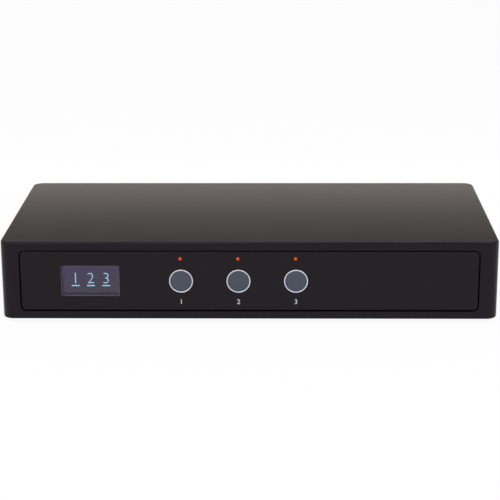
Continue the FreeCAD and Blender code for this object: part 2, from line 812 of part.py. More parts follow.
def make_display_flex():
    """Flat cable folded into a U: down from the glass, across, and up into the connector."""
    near = value("panel_back_y + glass_thickness + flex_thickness / 2")
    far = value("front_board_y - connector_depth / 2")
    start = value("glass_z - flex_bond")
    end = value("glass_z + connector_rise + flex_insertion")
    low = value("glass_z - glass_height / 2 + flex_edge_gap")
    bend = (far - near) / 2
    half = value("flex_thickness") / 2

    def fold(radius):
        centre = Vector(0, near + bend, low + bend)
        left = centre - Vector(0, radius, 0)
        right = centre + Vector(0, radius, 0)
        bottom = centre - Vector(0, 0, radius)
        return (Vector(0, left.y, start), left, bottom, right, Vector(0, right.y, end))

    outer = fold(bend + half)
    inner = fold(bend - half)
    edges = [
        Part.LineSegment(outer[0], outer[1]).toShape(),
        Part.Arc(outer[1], outer[2], outer[3]).toShape(),
        Part.LineSegment(outer[3], outer[4]).toShape(),
        Part.LineSegment(outer[4], inner[4]).toShape(),
        Part.LineSegment(inner[4], inner[3]).toShape(),
        Part.Arc(inner[3], inner[2], inner[1]).toShape(),
        Part.LineSegment(inner[1], inner[0]).toShape(),
        Part.LineSegment(inner[0], outer[0]).toShape(),
    ]
    width = value("flex_width")
    left = value("window_x") - width / 2
    flex = doc.addObject("Part::Feature", "display_flex")
    flex.Shape = Part.Face(Part.Wire(edges)).extrude(Vector(width, 0, 0))
    flex.Placement = FreeCAD.Placement(Vector(left, 0, 0), Rotation())


# ---------------------------------------------------------------------------------------
# Zone keys and indicators
# ---------------------------------------------------------------------------------------

def make_zone_ring(zone):
    """Bright trim ring pressed into the fascia, which also guides the key."""
    body = new_body("zone_%d_ring" % zone)
    profile = sketch_on(body, "ring_profile_%d" % zone, "XY_Plane")
    add_outline(profile, (("ring_bore", "-ring_proud"), ("ring_radius", "-ring_proud"),
                          ("ring_radius", "ring_length"), ("ring_bore", "ring_length")))
    spin(body, profile)
    place(body, key_x(zone), "front_y", "panel_z")


def make_zone_button(zone):
    """Round key with a collar behind the ring, whose back rests on the switch."""
    body = new_body("zone_%d_button" % zone)
    profile = sketch_on(body, "button_profile_%d" % zone, "XY_Plane")
    add_outline(profile, (
        ("0", "-ring_proud"), ("key_radius", "-ring_proud"), ("key_radius", "collar_start"),
        ("key_radius + key_collar", "collar_start"), ("key_radius + key_collar", "plunger_tip"),
        ("0", "plunger_tip")))
    spin(body, profile)
    place(body, key_x(zone), "front_y", "panel_z")


def make_zone_switch(zone):
    """Push switch on the front board: a square housing with a sprung round plunger."""
    middle = key_x(zone)
    name = "zone_%d_" % zone
    rod(name + "plunger", "plunger_radius", "plunger_proud + plunger_depth", middle,
        "front_y + plunger_tip", "panel_z", TO_REAR)
    housing = block(name + "switch_housing", "switch_size", "switch_height", "switch_size", middle,
                    "front_board_y - switch_height", "panel_z - switch_size / 2")
    well = rod(name + "switch_well", "plunger_radius + press_fit_gap",
               "plunger_depth + key_travel + well_spare", middle, "front_board_y - switch_height",
               "panel_z", TO_REAR)
    cut(name + "switch", housing, [well])


def make_zone_indicator(zone):
    """Red light pipe through the fascia and the small lamp that shines into it."""
    name = "zone_%d_" % zone
    body = new_body(name + "light_pipe")
    profile = sketch_on(body, "pipe_profile_%d" % zone, "XY_Plane")
    end = "panel_thickness + pillar_length - led_height - led_gap"
    add_outline(profile, (("0", "-pipe_proud"), ("pipe_radius - pipe_taper", "-pipe_proud"),
                          ("pipe_radius", "0"), ("pipe_radius", end), ("0", end)))
    spin(body, profile)
    place(body, pipe_x(zone), "front_y", "panel_z + pipe_rise")
    block(name + "led", "led_length", "led_height", "led_width", pipe_x(zone),
          "front_board_y - led_height", "panel_z + pipe_rise - led_width / 2")


# ---------------------------------------------------------------------------------------
# Circuit boards
# ---------------------------------------------------------------------------------------

def make_front_board():
    """Upright board that carries the display, the switches and the lamps."""
    blank = block("front_board_blank", "front_board_width", "board_thickness",
                  "front_board_height", "0", "front_board_y", "panel_z - front_board_height / 2")
    holes = []
    for number, (side, level) in enumerate(CORNERS, 1):
        holes.append(prism("front_board_hole_%d" % number, 6, "small_screw_radius + hole_gap",
                           "board_thickness", "%d * pillar_x" % side, "front_board_y",
                           "panel_z + %d * pillar_rise" % level, TO_REAR))
    for number in range(LINK_PINS):
        holes.append(block("front_board_pin_hole_%d" % number, "link_pin + 2 * pin_hole_gap",
                           "board_thickness", "link_pin + 2 * pin_hole_gap", link_x(number),
                           "front_board_y", "link_z - link_pin / 2 - pin_hole_gap"))
    cut("front_board", blank, holes)
    screws = []
    for number, (side, level) in enumerate(CORNERS, 1):
        screws.append(make_screw(
            "front_board_screw_%d" % number, 6, "small_screw_radius",
            "board_thickness + small_screw_grip", "small_screw_head_radius",
            "small_screw_head_height", "%d * pillar_x" % side, "front_board_back_y",
            "panel_z + %d * pillar_rise" % level, Rotation(Vector(1, 0, 0), 90)))
    group("front_board_screws", screws)


def link_x(number):
    """Distance of a link pin from the middle of the case."""
    return "link_middle_x + %s * link_pitch" % (number - (LINK_PINS - 1) / 2)


def make_link():
    """Right-angle pin strip that joins the two boards."""
    strip = block("link_strip", "link_width", "link_pitch", "link_pitch", "link_middle_x",
                  "front_board_back_y", "link_z - link_pitch / 2")
    holes = []
    pins = []
    for number in range(LINK_PINS):
        middle = link_x(number)
        holes.append(block("link_hole_%d" % number, "link_pin", "link_pitch", "link_pin", middle,
                           "front_board_back_y", "link_z - link_pin / 2"))
        along = block("link_pin_along_%d" % number, "link_pin",
                      "link_down_y + link_pin - front_board_y + link_tail", "link_pin", middle,
                      "front_board_y - link_tail", "link_z - link_pin / 2")
        down = block("link_pin_down_%d" % number, "link_pin", "link_pin",
                     "link_z + link_pin / 2 - main_board_z + link_tail", middle,
                     "link_down_y", "main_board_z - link_tail")
        pins.append(fuse("link_pin_%d" % number, [along, down]))
    cut("link_header", strip, holes)
    group("link_pins", pins)


def make_main_board():
    """Board on the base that carries the relays, the radio module and the rear connectors."""
    plate = block("main_board_blank", "2 * board_half_width", "main_board_depth", "board_thickness",
                  "0", "main_board_y", "main_board_z")
    holes = []
    for number, (side, end) in enumerate(CORNERS, 1):
        holes.append(prism("main_board_hole_%d" % number, 6, "board_screw_radius + hole_gap",
                           "board_thickness", "%d * board_screw_x" % side,
                           "middle_y + (%s)" % standoff_depth(end), "main_board_z"))
    for number in range(LINK_PINS):
        holes.append(block("main_board_link_hole_%d" % number, "link_pin + 2 * pin_hole_gap",
                           "link_pin + 2 * pin_hole_gap", "board_thickness", link_x(number),
                           "link_down_y - pin_hole_gap", "main_board_z"))
    for number in range(len(TERMINALS)):
        for way in range(WAYS):
            holes.append(block("main_board_pin_hole_%d_%d" % (number, way),
                               "pin_size + 2 * pin_hole_gap", "pin_size + 2 * pin_hole_gap",
                               "board_thickness", way_x(number, way),
                               "pin_tail_y - pin_hole_gap", "main_board_z"))
    cut("main_board", plate, holes)
    screws = []
    for number, (side, end) in enumerate(CORNERS, 1):
        screws.append(make_screw(
            "main_board_screw_%d" % number, 6, "board_screw_radius",
            "board_thickness + standoff_height - screw_tip_gap", "board_screw_head_radius",
            "board_screw_head_height", "%d * board_screw_x" % side,
            "middle_y + (%s)" % standoff_depth(end), "board_top_z", Rotation(Vector(1, 0, 0), 180)))
    group("main_board_screws", screws)


def make_relay(zone):
    """Two-pole relay that connects one zone."""
    body = new_body("zone_%d_relay" % zone)
    outline = sketch_on(body, "relay_outline_%d" % zone, "XY_Plane")
    add_rectangle(outline, "relay_width", "relay_length")
    grow(body, "Pad", outline, "relay_height")
    top = value("relay_height")
    dress(body, "Chamfer", "relay_edge", lambda e: spans(e, "z", top))
    place(body, terminal_x(zone), "socket_back_y - relay_gap - relay_length / 2", "board_top_z")


def make_board_parts():
    """Radio module, relay driver and supply capacitors."""
    radio_x = "board_half_width - radio_offset - radio_width / 2"
    radio_y = "main_board_y + radio_setback"
    block("radio_module", "radio_width", "radio_length", "radio_board_thickness", radio_x, radio_y,
          "board_top_z")
    body = new_body("radio_shield")
    outline = sketch_on(body, "shield_outline", "XY_Plane")
    add_rectangle(outline, "shield_width", "shield_length")
    grow(body, "Pad", outline, "shield_height")
    place(body, radio_x, "%s + radio_length - shield_length / 2 - shield_margin" % radio_y,
          "board_top_z + radio_board_thickness")

    cans = []
    for number in (0, 1):
        cans.append(prism("capacitor_%d" % number, 16, "capacitor_radius", "capacitor_height",
                          "inlet_x - %d * capacitor_spacing" % number,
                          "main_board_y + capacitor_setback", "board_top_z"))
    group("supply_capacitors", cans)

    chip_x = terminal_x(2)
    chip_y = "main_board_y + driver_setback"
    pieces = [block("driver_body", "driver_length", "driver_width", "driver_height - driver_rise",
                    chip_x, chip_y, "board_top_z + driver_rise")]
    for number in range(DRIVER_LEGS):
        step = number - (DRIVER_LEGS - 1) / 2
        pieces.append(block("driver_leg_%d" % number, "driver_leg_width",
                            "driver_width + 2 * driver_leg_reach", "driver_leg_height",
                            "%s + %s * driver_leg_pitch" % (chip_x, step),
                            "%s - driver_leg_reach" % chip_y, "board_top_z"))
    fuse("relay_driver", pieces)


# ---------------------------------------------------------------------------------------
# Rear connectors
# ---------------------------------------------------------------------------------------

def way_x(number, way):
    """Distance of one way of a terminal block from the middle of the case."""
    return "%s + %s * terminal_pitch" % (terminal_x(number), way - (WAYS - 1) / 2)


def make_socket(number, name):
    """Board-mounted terminal socket, open to the rear, with a coding slot over each way."""
    middle = terminal_x(number)
    shell = block(name + "_socket_blank", "socket_width", "socket_depth", "socket_height", middle,
                  "socket_back_y", "board_top_z")
    tools = [block(name + "_socket_cavity", "cavity_width", "socket_cavity", "cavity_height", middle,
                   "pin_root_y", "board_top_z + socket_wall")]
    for way in range(WAYS):
        at = way_x(number, way)
        tools.append(block("%s_coding_slot_%d" % (name, way), "coding_slot_width",
                           "coding_slot_length", "socket_wall", at, "mouth_y - coding_slot_length",
                           "board_top_z + socket_wall + cavity_height"))
        tools.append(block("%s_pin_passage_%d" % (name, way), "pin_size", "socket_depth",
                           "pin_size", at, "socket_back_y", "nose_axis_z - pin_size / 2"))
    cut(name + "_socket", shell, tools)


def make_socket_pins():
    """Bent contact pins of all four sockets, from the board to the inside of each socket."""
    pins = []
    for number in range(len(TERMINALS)):
        for way in range(WAYS):
            at = way_x(number, way)
            label = "socket_pin_%d_%d" % (number, way)
            along = block(label + "_along", "pin_size", "pin_root_y + pin_length - pin_tail_y",
                          "pin_size", at, "pin_tail_y", "nose_axis_z - pin_size / 2")
            down = block(label + "_down", "pin_size", "pin_size",
                         "nose_axis_z + pin_size / 2 - main_board_z + pin_tail", at,
                         "pin_tail_y", "main_board_z - pin_tail")
            pins.append(fuse(label, [along, down]))
    group("socket_pins", pins)


def make_plug(number, name):
    """Plug-in screw terminal: a nose that enters the socket and a head with wire entries."""
    middle = terminal_x(number)
    head = block(name + "_plug_head", "plug_width", "plug_depth", "plug_height", middle, "plug_y",
                 "plug_z")
    nose = block(name + "_plug_nose", "plug_width", "nose_length + overlap", "nose_height", middle,
                 "plug_y - nose_length", "nose_z")
    top = value("plug_z + plug_height")
    back = value("plug_y + plug_depth")
    eased = chamfered(name + "_plug_head_eased", head, "plug_edge",
                      lambda e: spans(e, "y", back) or spans(e, "z", top))
    tools = []
    for way in range(WAYS):
        at = way_x(number, way)
        label = "%s_way_%d" % (name, way)
        tools.append(block(label + "_chamber", "clamp_width + 2 * clamp_fit",
                           "clamp_depth + 2 * clamp_fit", "clamp_height + 2 * clamp_fit", at,
                           "clamp_y - clamp_fit", "clamp_z - clamp_fit"))
        tools.append(block(label + "_wire_entry", "wire_entry_width", "plug_depth",
                           "wire_entry_height", at, "clamp_y + clamp_depth",
                           "nose_axis_z - wire_entry_height / 2"))
        tools.append(prism(label + "_screw_well", 12, "terminal_screw_radius + screw_fit",
                           "plug_height", at, "clamp_y + clamp_depth / 2", "clamp_z + clamp_height"))
        tools.append(block(label + "_pin_slot", "pin_size + 2 * pin_slot_gap",
                           "nose_length + clamp_setback", "pin_size + 2 * pin_slot_gap", at,
                           "plug_y - nose_length", "nose_axis_z - pin_size / 2 - pin_slot_gap"))
    cut(name + "_plug", fuse(name + "_plug_blank", [eased, nose]), tools)

    clamps = []
    screws = []
    for way in range(WAYS):
        at = way_x(number, way)
        label = "%s_clamp_%d" % (name, way)
        cage = block(label + "_cage", "clamp_width", "clamp_depth", "clamp_height", at, "clamp_y",
                     "clamp_z")
        throat = block(label + "_throat", "clamp_width - 2 * clamp_wall", "clamp_depth",
                       "clamp_height - 2 * clamp_wall", at, "clamp_y", "clamp_z + clamp_wall")
        clamps.append(cut(label, cage, [throat]))
        screws.append(prism("%s_terminal_screw_%d" % (name, way), 12, "terminal_screw_radius",
                            "plug_z + plug_height - screw_sink - clamp_z - clamp_height", at,
                            "clamp_y + clamp_depth / 2", "clamp_z + clamp_height"))
    group(name + "_plug_clamps", clamps)
    group(name + "_plug_screws", screws)


def make_power_inlet():
    """Barrel inlet with a centre pin, behind a round hole in the rear panel."""
    axis_z = "board_top_z + inlet_axis_rise"
    shell = block("inlet_shell", "inlet_width", "inlet_depth - panel_thickness", "inlet_height",
                  "inlet_x", "rear_y - inlet_depth", "board_top_z")
    top = value("board_top_z + inlet_height")
    long = value("inlet_depth - panel_thickness") - TOUCH
    eased = chamfered("inlet_shell_eased", shell, "inlet_edge",
                      lambda e: e.BoundBox.YLength > long and spans(e, "z", top))
    barrel = rod("inlet_barrel", "inlet_barrel_radius", "panel_thickness + overlap",
                 "inlet_x", "rear_panel_y - overlap", axis_z, TO_REAR)
    bore = rod("inlet_bore", "inlet_bore_radius", "inlet_bore_depth", "inlet_x",
               "rear_y - inlet_bore_depth", axis_z, TO_REAR)
    hollow = cut("inlet_housing", fuse("inlet_blank", [eased, barrel]), [bore])
    pin = rod("inlet_pin", "inlet_pin_radius", "inlet_bore_depth - inlet_pin_recess + overlap",
              "inlet_x", "rear_y - inlet_bore_depth - overlap", axis_z, TO_REAR)
    fuse("power_inlet", [hollow, pin])


def make_trigger_jack():
    """Small round jack beside the power inlet."""
    axis_z = "board_top_z + jack_axis_rise"
    shell = block("jack_shell", "jack_width", "jack_depth", "jack_height", "jack_x",
                  "rear_panel_y - jack_depth", "board_top_z")
    barrel = rod("jack_barrel", "jack_barrel_radius", "panel_thickness + overlap", "jack_x",
                 "rear_panel_y - overlap", axis_z, TO_REAR)
    bore = rod("jack_bore", "jack_bore_radius", "jack_bore_depth", "jack_x",
               "rear_y - jack_bore_depth", axis_z, TO_REAR)
    cut("trigger_jack", fuse("jack_blank", [shell, barrel]), [bore])


# ---------------------------------------------------------------------------------------
# The whole part
# ---------------------------------------------------------------------------------------

def fill_sheet():
    """Write each driving size into the spreadsheet, with its name as the alias."""
    for row, (name, size) in enumerate(SIZES.items(), 1):
        sheet.set("A%d" % row, name)
        sheet.set("B%d" % row, str(size))
        sheet.setAlias("B%d" % row, name)
    doc.recompute()


def make_all():
    make_top_shell()
    make_base_plate()
    make_base_screws()
    make_rubber_feet()
    make_front_panel()
    make_rear_panel()
    make_display()
    make_display_flex()
    for zone in ZONES:
        make_zone_ring(zone)
        make_zone_button(zone)
        make_zone_switch(zone)
        make_zone_indicator(zone)
        make_relay(zone)
    make_front_board()
    make_link()
    make_main_board()
    make_board_parts()
    for number, name in enumerate(TERMINALS):
        make_socket(number, name)
        make_plug(number, name)
    make_socket_pins()
    make_power_inlet()
    make_trigger_jack()


ZONE_NODES = ("ring", "button", "plunger", "switch", "light_pipe", "led", "relay")
TERMINAL_NODES = ("socket", "plug", "plug_clamps", "plug_screws")
SINGLE_NODES = (
    "top_shell", "base_plate", "base_screws", "rubber_feet", "front_panel", "rear_panel",
    "display_window", "display_glass", "display_flex", "display_connector",
    "front_board", "front_board_screws", "link_header", "link_pins",
    "main_board", "main_board_screws", "radio_module", "radio_shield", "supply_capacitors",
    "relay_driver", "socket_pins", "power_inlet", "trigger_jack",
)


def node_names():
    names = list(SINGLE_NODES)
    names += ["zone_%d_%s" % (zone, part) for zone in ZONES for part in ZONE_NODES]
    names += ["%s_%s" % (name, part) for name in TERMINALS for part in TERMINAL_NODES]
    return names


def check_and_write():
    """Check every object, then write each piece to its own STEP file."""
    for item in doc.Objects:
        if "Invalid" in item.State or "Error" in item.State:
            raise RuntimeError("%s failed: %s" % (item.Name, item.State))
    for name in node_names():
        item = doc.getObject(name)
        if item is None or item.Shape.isNull() or not item.Shape.isValid() or not item.Shape.Solids:
            raise RuntimeError("%s has no valid solid" % name)
        item.Label = name
        item.Shape.exportStep("parts/%s.step" % name)


os.makedirs("parts", exist_ok=True)
doc = FreeCAD.newDocument("speaker_selector_switch")
sheet = doc.addObject("Spreadsheet::Sheet", "sizes")
fill_sheet()
make_all()
doc.recompute()
check_and_write()
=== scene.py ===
import json
import math

import bmesh
import bpy
from bpy.props import FloatProperty, FloatVectorProperty, IntProperty, PointerProperty
from mathutils import Euler, Matrix, Vector

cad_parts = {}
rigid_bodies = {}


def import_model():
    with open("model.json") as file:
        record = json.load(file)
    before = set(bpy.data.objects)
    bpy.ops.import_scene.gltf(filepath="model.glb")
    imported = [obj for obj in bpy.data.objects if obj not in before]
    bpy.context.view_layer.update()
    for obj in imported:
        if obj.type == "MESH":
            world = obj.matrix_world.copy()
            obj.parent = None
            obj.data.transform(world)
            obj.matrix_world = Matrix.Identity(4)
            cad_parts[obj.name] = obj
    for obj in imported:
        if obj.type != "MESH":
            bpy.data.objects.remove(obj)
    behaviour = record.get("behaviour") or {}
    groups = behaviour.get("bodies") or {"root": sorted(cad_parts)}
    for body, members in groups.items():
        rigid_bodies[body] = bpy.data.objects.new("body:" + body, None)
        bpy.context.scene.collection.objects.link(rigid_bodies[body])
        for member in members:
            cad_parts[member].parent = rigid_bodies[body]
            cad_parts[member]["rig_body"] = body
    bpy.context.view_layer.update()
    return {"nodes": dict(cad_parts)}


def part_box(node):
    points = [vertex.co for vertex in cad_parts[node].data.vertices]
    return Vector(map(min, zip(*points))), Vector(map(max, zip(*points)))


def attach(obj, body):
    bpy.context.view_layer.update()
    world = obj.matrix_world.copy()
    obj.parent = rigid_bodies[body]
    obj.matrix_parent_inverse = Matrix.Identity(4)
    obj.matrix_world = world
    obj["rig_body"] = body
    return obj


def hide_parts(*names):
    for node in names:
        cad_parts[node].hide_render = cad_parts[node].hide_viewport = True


bl_info = {
    "name": "Speaker Selector Switch",
    "version": (1, 0, 0),
    "blender": (4, 5, 0),
    "location": "3D View > Sidebar > Selector",
    "description": "Dresses the parts of a speaker selector switch and sets up its stage",
    "category": "Object",
}

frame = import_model()

MM = 0.001
CASE = "case"
ZONES = (1, 2, 3)
TERMINALS = ("amplifier", "zone_1", "zone_2", "zone_3")

FRONT = Vector((0, -1, 0))
UP = Vector((0, 0, 1))
QUARTER = math.pi / 2

# Points closer than WELD count as one, and so do faces that meet at less than FLAT. Edges that
# turn by more than SHARP count as sharp. NEAR is how closely two radii have to agree.
WELD = 0.001 * MM
NEAR = 0.01 * MM
FLAT = math.radians(0.5)
SHARP = math.radians(35)

# Forms of the screws and the feet, as shares of a length or a radius of the same piece, and how
# far at most a terminal's screw is turned from straight.
HEAD_DOME = 0.35
THREAD_ROOT = 0.82
THREAD_START = 0.4
SHANK_POINT = 0.6
RECESS_REACH = 1.5
TERMINAL_SHANK = 0.85
TERMINAL_HEAD = 0.4
TERMINAL_TURN = math.radians(80)
FOOT_SOLE = 0.88

# Node of each set of cross-head screws, which way they face, the axis they lie along, how high
# the head is, and how thick the shank is as a share of the head.
CROSS_HEADS = (
    ("base_screws", (0, 0, 0), 2, 1.3 * MM, 0.53),
    ("main_board_screws", (math.pi, 0, 0), 2, 1.6 * MM, 0.5),
    ("front_board_screws", (QUARTER, 0, 0), 1, 1.3 * MM, 0.53),
)

# Place and target of each lamp, and the width and height of its face, in metres.
LAMPS = {
    "key_lamp": ((-0.35, -0.75, 1.05), (0, 0, 0.02), 0.9, 0.9),
    "fill_lamp": ((0.45, -0.55, 1.0), (0, 0, 0.02), 0.6, 0.6),
    "back_lamp": ((0, 0.25, 0.065), (0, 0, 0.065), 1.1, 0.066),
}


# ---- Settings ----

def screen_colour(red, green, blue):
    """The linear colour that a screen shows as this red, green and blue, each 0 to 255."""
    levels = (red / 255, green / 255, blue / 255)
    return tuple(level / 12.92 if level <= 0.04045 else ((level + 0.055) / 1.055) ** 2.4
                 for level in levels)


def length(name, description, millimetres):
    return FloatProperty(name=name, description=description, default=millimetres * MM, min=0.0,
                         precision=5, unit="LENGTH", subtype="DISTANCE")


def colour(name, description, red, green, blue):
    return FloatVectorProperty(name=name, description=description, size=3, min=0.0, max=1.0,
                               default=screen_colour(red, green, blue), subtype="COLOR")


def angle(name, description, degrees):
    return FloatProperty(name=name, description=description, default=math.radians(degrees),
                         unit="ROTATION", subtype="ANGLE")


def share(name, description, default):
    return FloatProperty(name=name, description=description, default=default, min=0.0, max=1.0,
                         subtype="FACTOR")


def amount(name, description, default, lowest=0.0):
    return FloatProperty(name=name, description=description, default=default, min=lowest)


class SelectorSizes(bpy.types.PropertyGroup):
    """Sizes of the details that the dressing adds to the parts."""

    case_edge: length("Case edge", "Rounding along the edges of the top shell", 0.2)
    panel_edge: length("Panel edge", "Rounding along the edges of the two panels", 0.1)
    base_edge: length("Base edge", "Rounding along the edges of the base plate", 0.2)
    connector_edge: length("Connector edge", "Rounding along the edges of the connectors", 0.12)
    ring_lip: length("Ring lip", "Rounding of the front of the key rings", 0.2)
    ring_back: length("Ring back", "Rounding of the back of the key rings", 0.08)
    ring_ease: length("Ring ease", "How much wider the rings' bores and the keys' faces are", 0.1)
    key_edge: length("Key edge", "Rounding round the face of each key", 0.18)
    key_step: length("Key step", "Rounding where a key's face meets its collar", 0.05)
    key_collar: length("Key collar", "Rounding of the collar of each key", 0.1)
    pane_edge: length("Pane edge", "Rounding along the edges of the display pane", 0.12)
    head_edge: length("Head edge", "Rounding under the heads of the screws", 0.1)
    foot_edge: length("Foot edge", "Rounding round the sole of each foot", 0.5)
    case_grain: length("Case grain", "Width of the moulded grain of the case", 0.22)
    panel_grain: length("Panel grain", "Width of the moulded grain of the panels", 0.16)
    numeral_height: length("Numeral height", "Height of the numerals under the keys", 2.0)
    numeral_drop: length("Numeral drop", "Middle of the numerals below that of the keys", 8.7)
    ink_thickness: length("Ink thickness", "How far the printed numerals stand proud", 0.03)
    digit_height: length("Display digit height", "Height of the digits on the display", 4.4)
    digit_spacing: length("Display digit spacing", "Distance between the display's digits", 6.2)
    digit_thinning: length("Display digit thinning", "How much thinner the digits' strokes are",
                           0.09)
    bar_height: length("Display bar height", "Height of the bar under each digit", 0.45)
    bar_gap: length("Display bar gap", "Gap between each digit and its bar", 0.75)
    bar_width: length("Display bar width", "Width of the bar under each digit", 3.2)
    pane_border: length("Pane border", "Width of the lighter edge of the display pane", 0.35)
    thread_pitch: length("Thread pitch", "Distance between two turns of a screw's thread", 0.8)
    recess_width: length("Recess width", "Width of the slots in the screw heads", 0.62)
    inlet_metal: length("Inlet metal", "Metal of the inlet, from its axis", 2.0)
    jack_metal: length("Jack metal", "Metal lining of the jack, from its axis", 2.3)


class SelectorColours(bpy.types.PropertyGroup):
    """Colours of the finishes."""

    case: colour("Case", "Satin black of the case", 17, 13, 21)
    fascia: colour("Panels", "Matt black of the front and rear panels", 21, 17, 24)
    key: colour("Keys", "Blue grey of the keys", 65, 71, 84)

    ring: colour("Rings", "Bright metal of the key rings", 226, 228, 236)
    # The lamps glow on their own. Their bright spot is a painted highlight, and their dimmer rest
    # is painted shade.
    lamp: colour("Lamp", "Bright spot of the indicator lamps", 250, 80, 14)
    lamp_shade: colour("Lamp shade", "Dimmer rest of the indicator lamps", 104, 34, 10)
    # The display's glow is partly its own light and partly painted reflection. It is violet at the
    # upper left and greyer at the lower right.
    screen: colour("Display", "Violet glow of the display", 57, 47, 83)
    screen_far: colour("Display far side", "Greyer glow at its lower right", 55, 52, 61)
    pane: colour("Pane border", "Lighter edge of the display pane", 98, 97, 104)
    digits: colour("Digits", "Pale blue of the display's digits", 172, 218, 250)
    ink: colour("Ink", "Light grey of the printed numerals", 210, 210, 214)
    rubber: colour("Feet", "Black rubber", 34, 34, 35)
    terminal: colour("Terminals", "Green of the terminal blocks", 38, 128, 72)
    steel: colour("Screws", "Plated steel of the screws and clamps", 168, 168, 172)
    brass: colour("Pins", "Tinned brass of the contact pins", 214, 196, 150)
    mask: colour("Boards", "Solder mask of the circuit boards", 18, 88, 52)
    black_part: colour("Black parts", "Black plastic of the relays and sockets", 26, 26, 28)
    flex: colour("Flat cable", "Amber film of the flat cable", 196, 128, 48)
    cream: colour("Cable socket", "Cream plastic of the flat cable's socket", 224, 214, 190)
    sleeve: colour("Capacitor sleeve", "Dark sleeve of the capacitors", 30, 32, 52)


class SelectorStage(bpy.types.PropertyGroup):
    """Camera, floor and light."""

    camera_place: FloatVectorProperty(
        name="Camera place", description="Where the camera stands", size=3,
        default=(11.63 * MM, -665.29 * MM, 212.55 * MM), unit="LENGTH", subtype="TRANSLATION")
    camera_heading: angle("Heading", "Turn of the camera to the left of straight ahead", 1.052)
    camera_tilt: angle("Tilt", "Angle of the camera below level", 16.526)
    camera_roll: angle("Roll", "Turn of the camera about its own line of sight", -0.26)
    camera_lens: FloatProperty(name="Lens", description="Focal length on a 36 mm sensor",
                               default=114.18, min=1.0, unit="CAMERA")
    floor_width: length("Floor width", "Width of the floor", 30000)
    floor_level: share("Floor colour", "Grey level of the floor", 0.82)
    paper_share: share("Paper share", "How much of the floor shows as plain white", 0.93)
    room_level: amount("Room light", "Light from all round", 0.6)
    ceiling_level: amount("Ceiling", "Ceiling as seen in reflections", 0.03)
    horizon_height: share("Horizon height", "How far up the white backdrop reaches", 0.088)
    side_height: amount("Side height", "How many times higher the backdrop is at the sides", 10.0,
                        lowest=1.0)
    horizon_tint: colour("Horizon's colour", "Faint warmth of the backdrop in reflections",
                         255, 241, 233)
    key_light: amount("Key light", "Brightness of the main lamp", 3.6)
    fill_light: amount("Fill light", "Brightness of the side lamp", 3.0)
    back_light: amount("Back light", "Brightness of the low rear lamp", 1.02)
    back_tint: colour("Back light's colour", "Faint warmth of the low rear lamp", 255, 246, 241)
    seed: IntProperty(name="Seed", description="Seed for the turn of each screw", default=7, min=0)


# ---- Finishes ----

class Signal:
    """A number that varies over a surface and can be used in plain arithmetic."""

    def __init__(self, finish, socket):
        self.finish = finish
        self.socket = socket

    def __add__(self, other):
        return self.finish.arithmetic("ADD", self, other)

    __radd__ = __add__

    def __sub__(self, other):
        return self.finish.arithmetic("SUBTRACT", self, other)

    def __rsub__(self, other):
        return self.finish.arithmetic("SUBTRACT", other, self)

    def __mul__(self, other):
        return self.finish.arithmetic("MULTIPLY", self, other)

    __rmul__ = __mul__

    def __gt__(self, other):
        return self.finish.arithmetic("GREATER_THAN", self, other)

    def __lt__(self, other):
        return self.finish.arithmetic("LESS_THAN", self, other)

    def __abs__(self):
        return self.finish.arithmetic("ABSOLUTE", self)


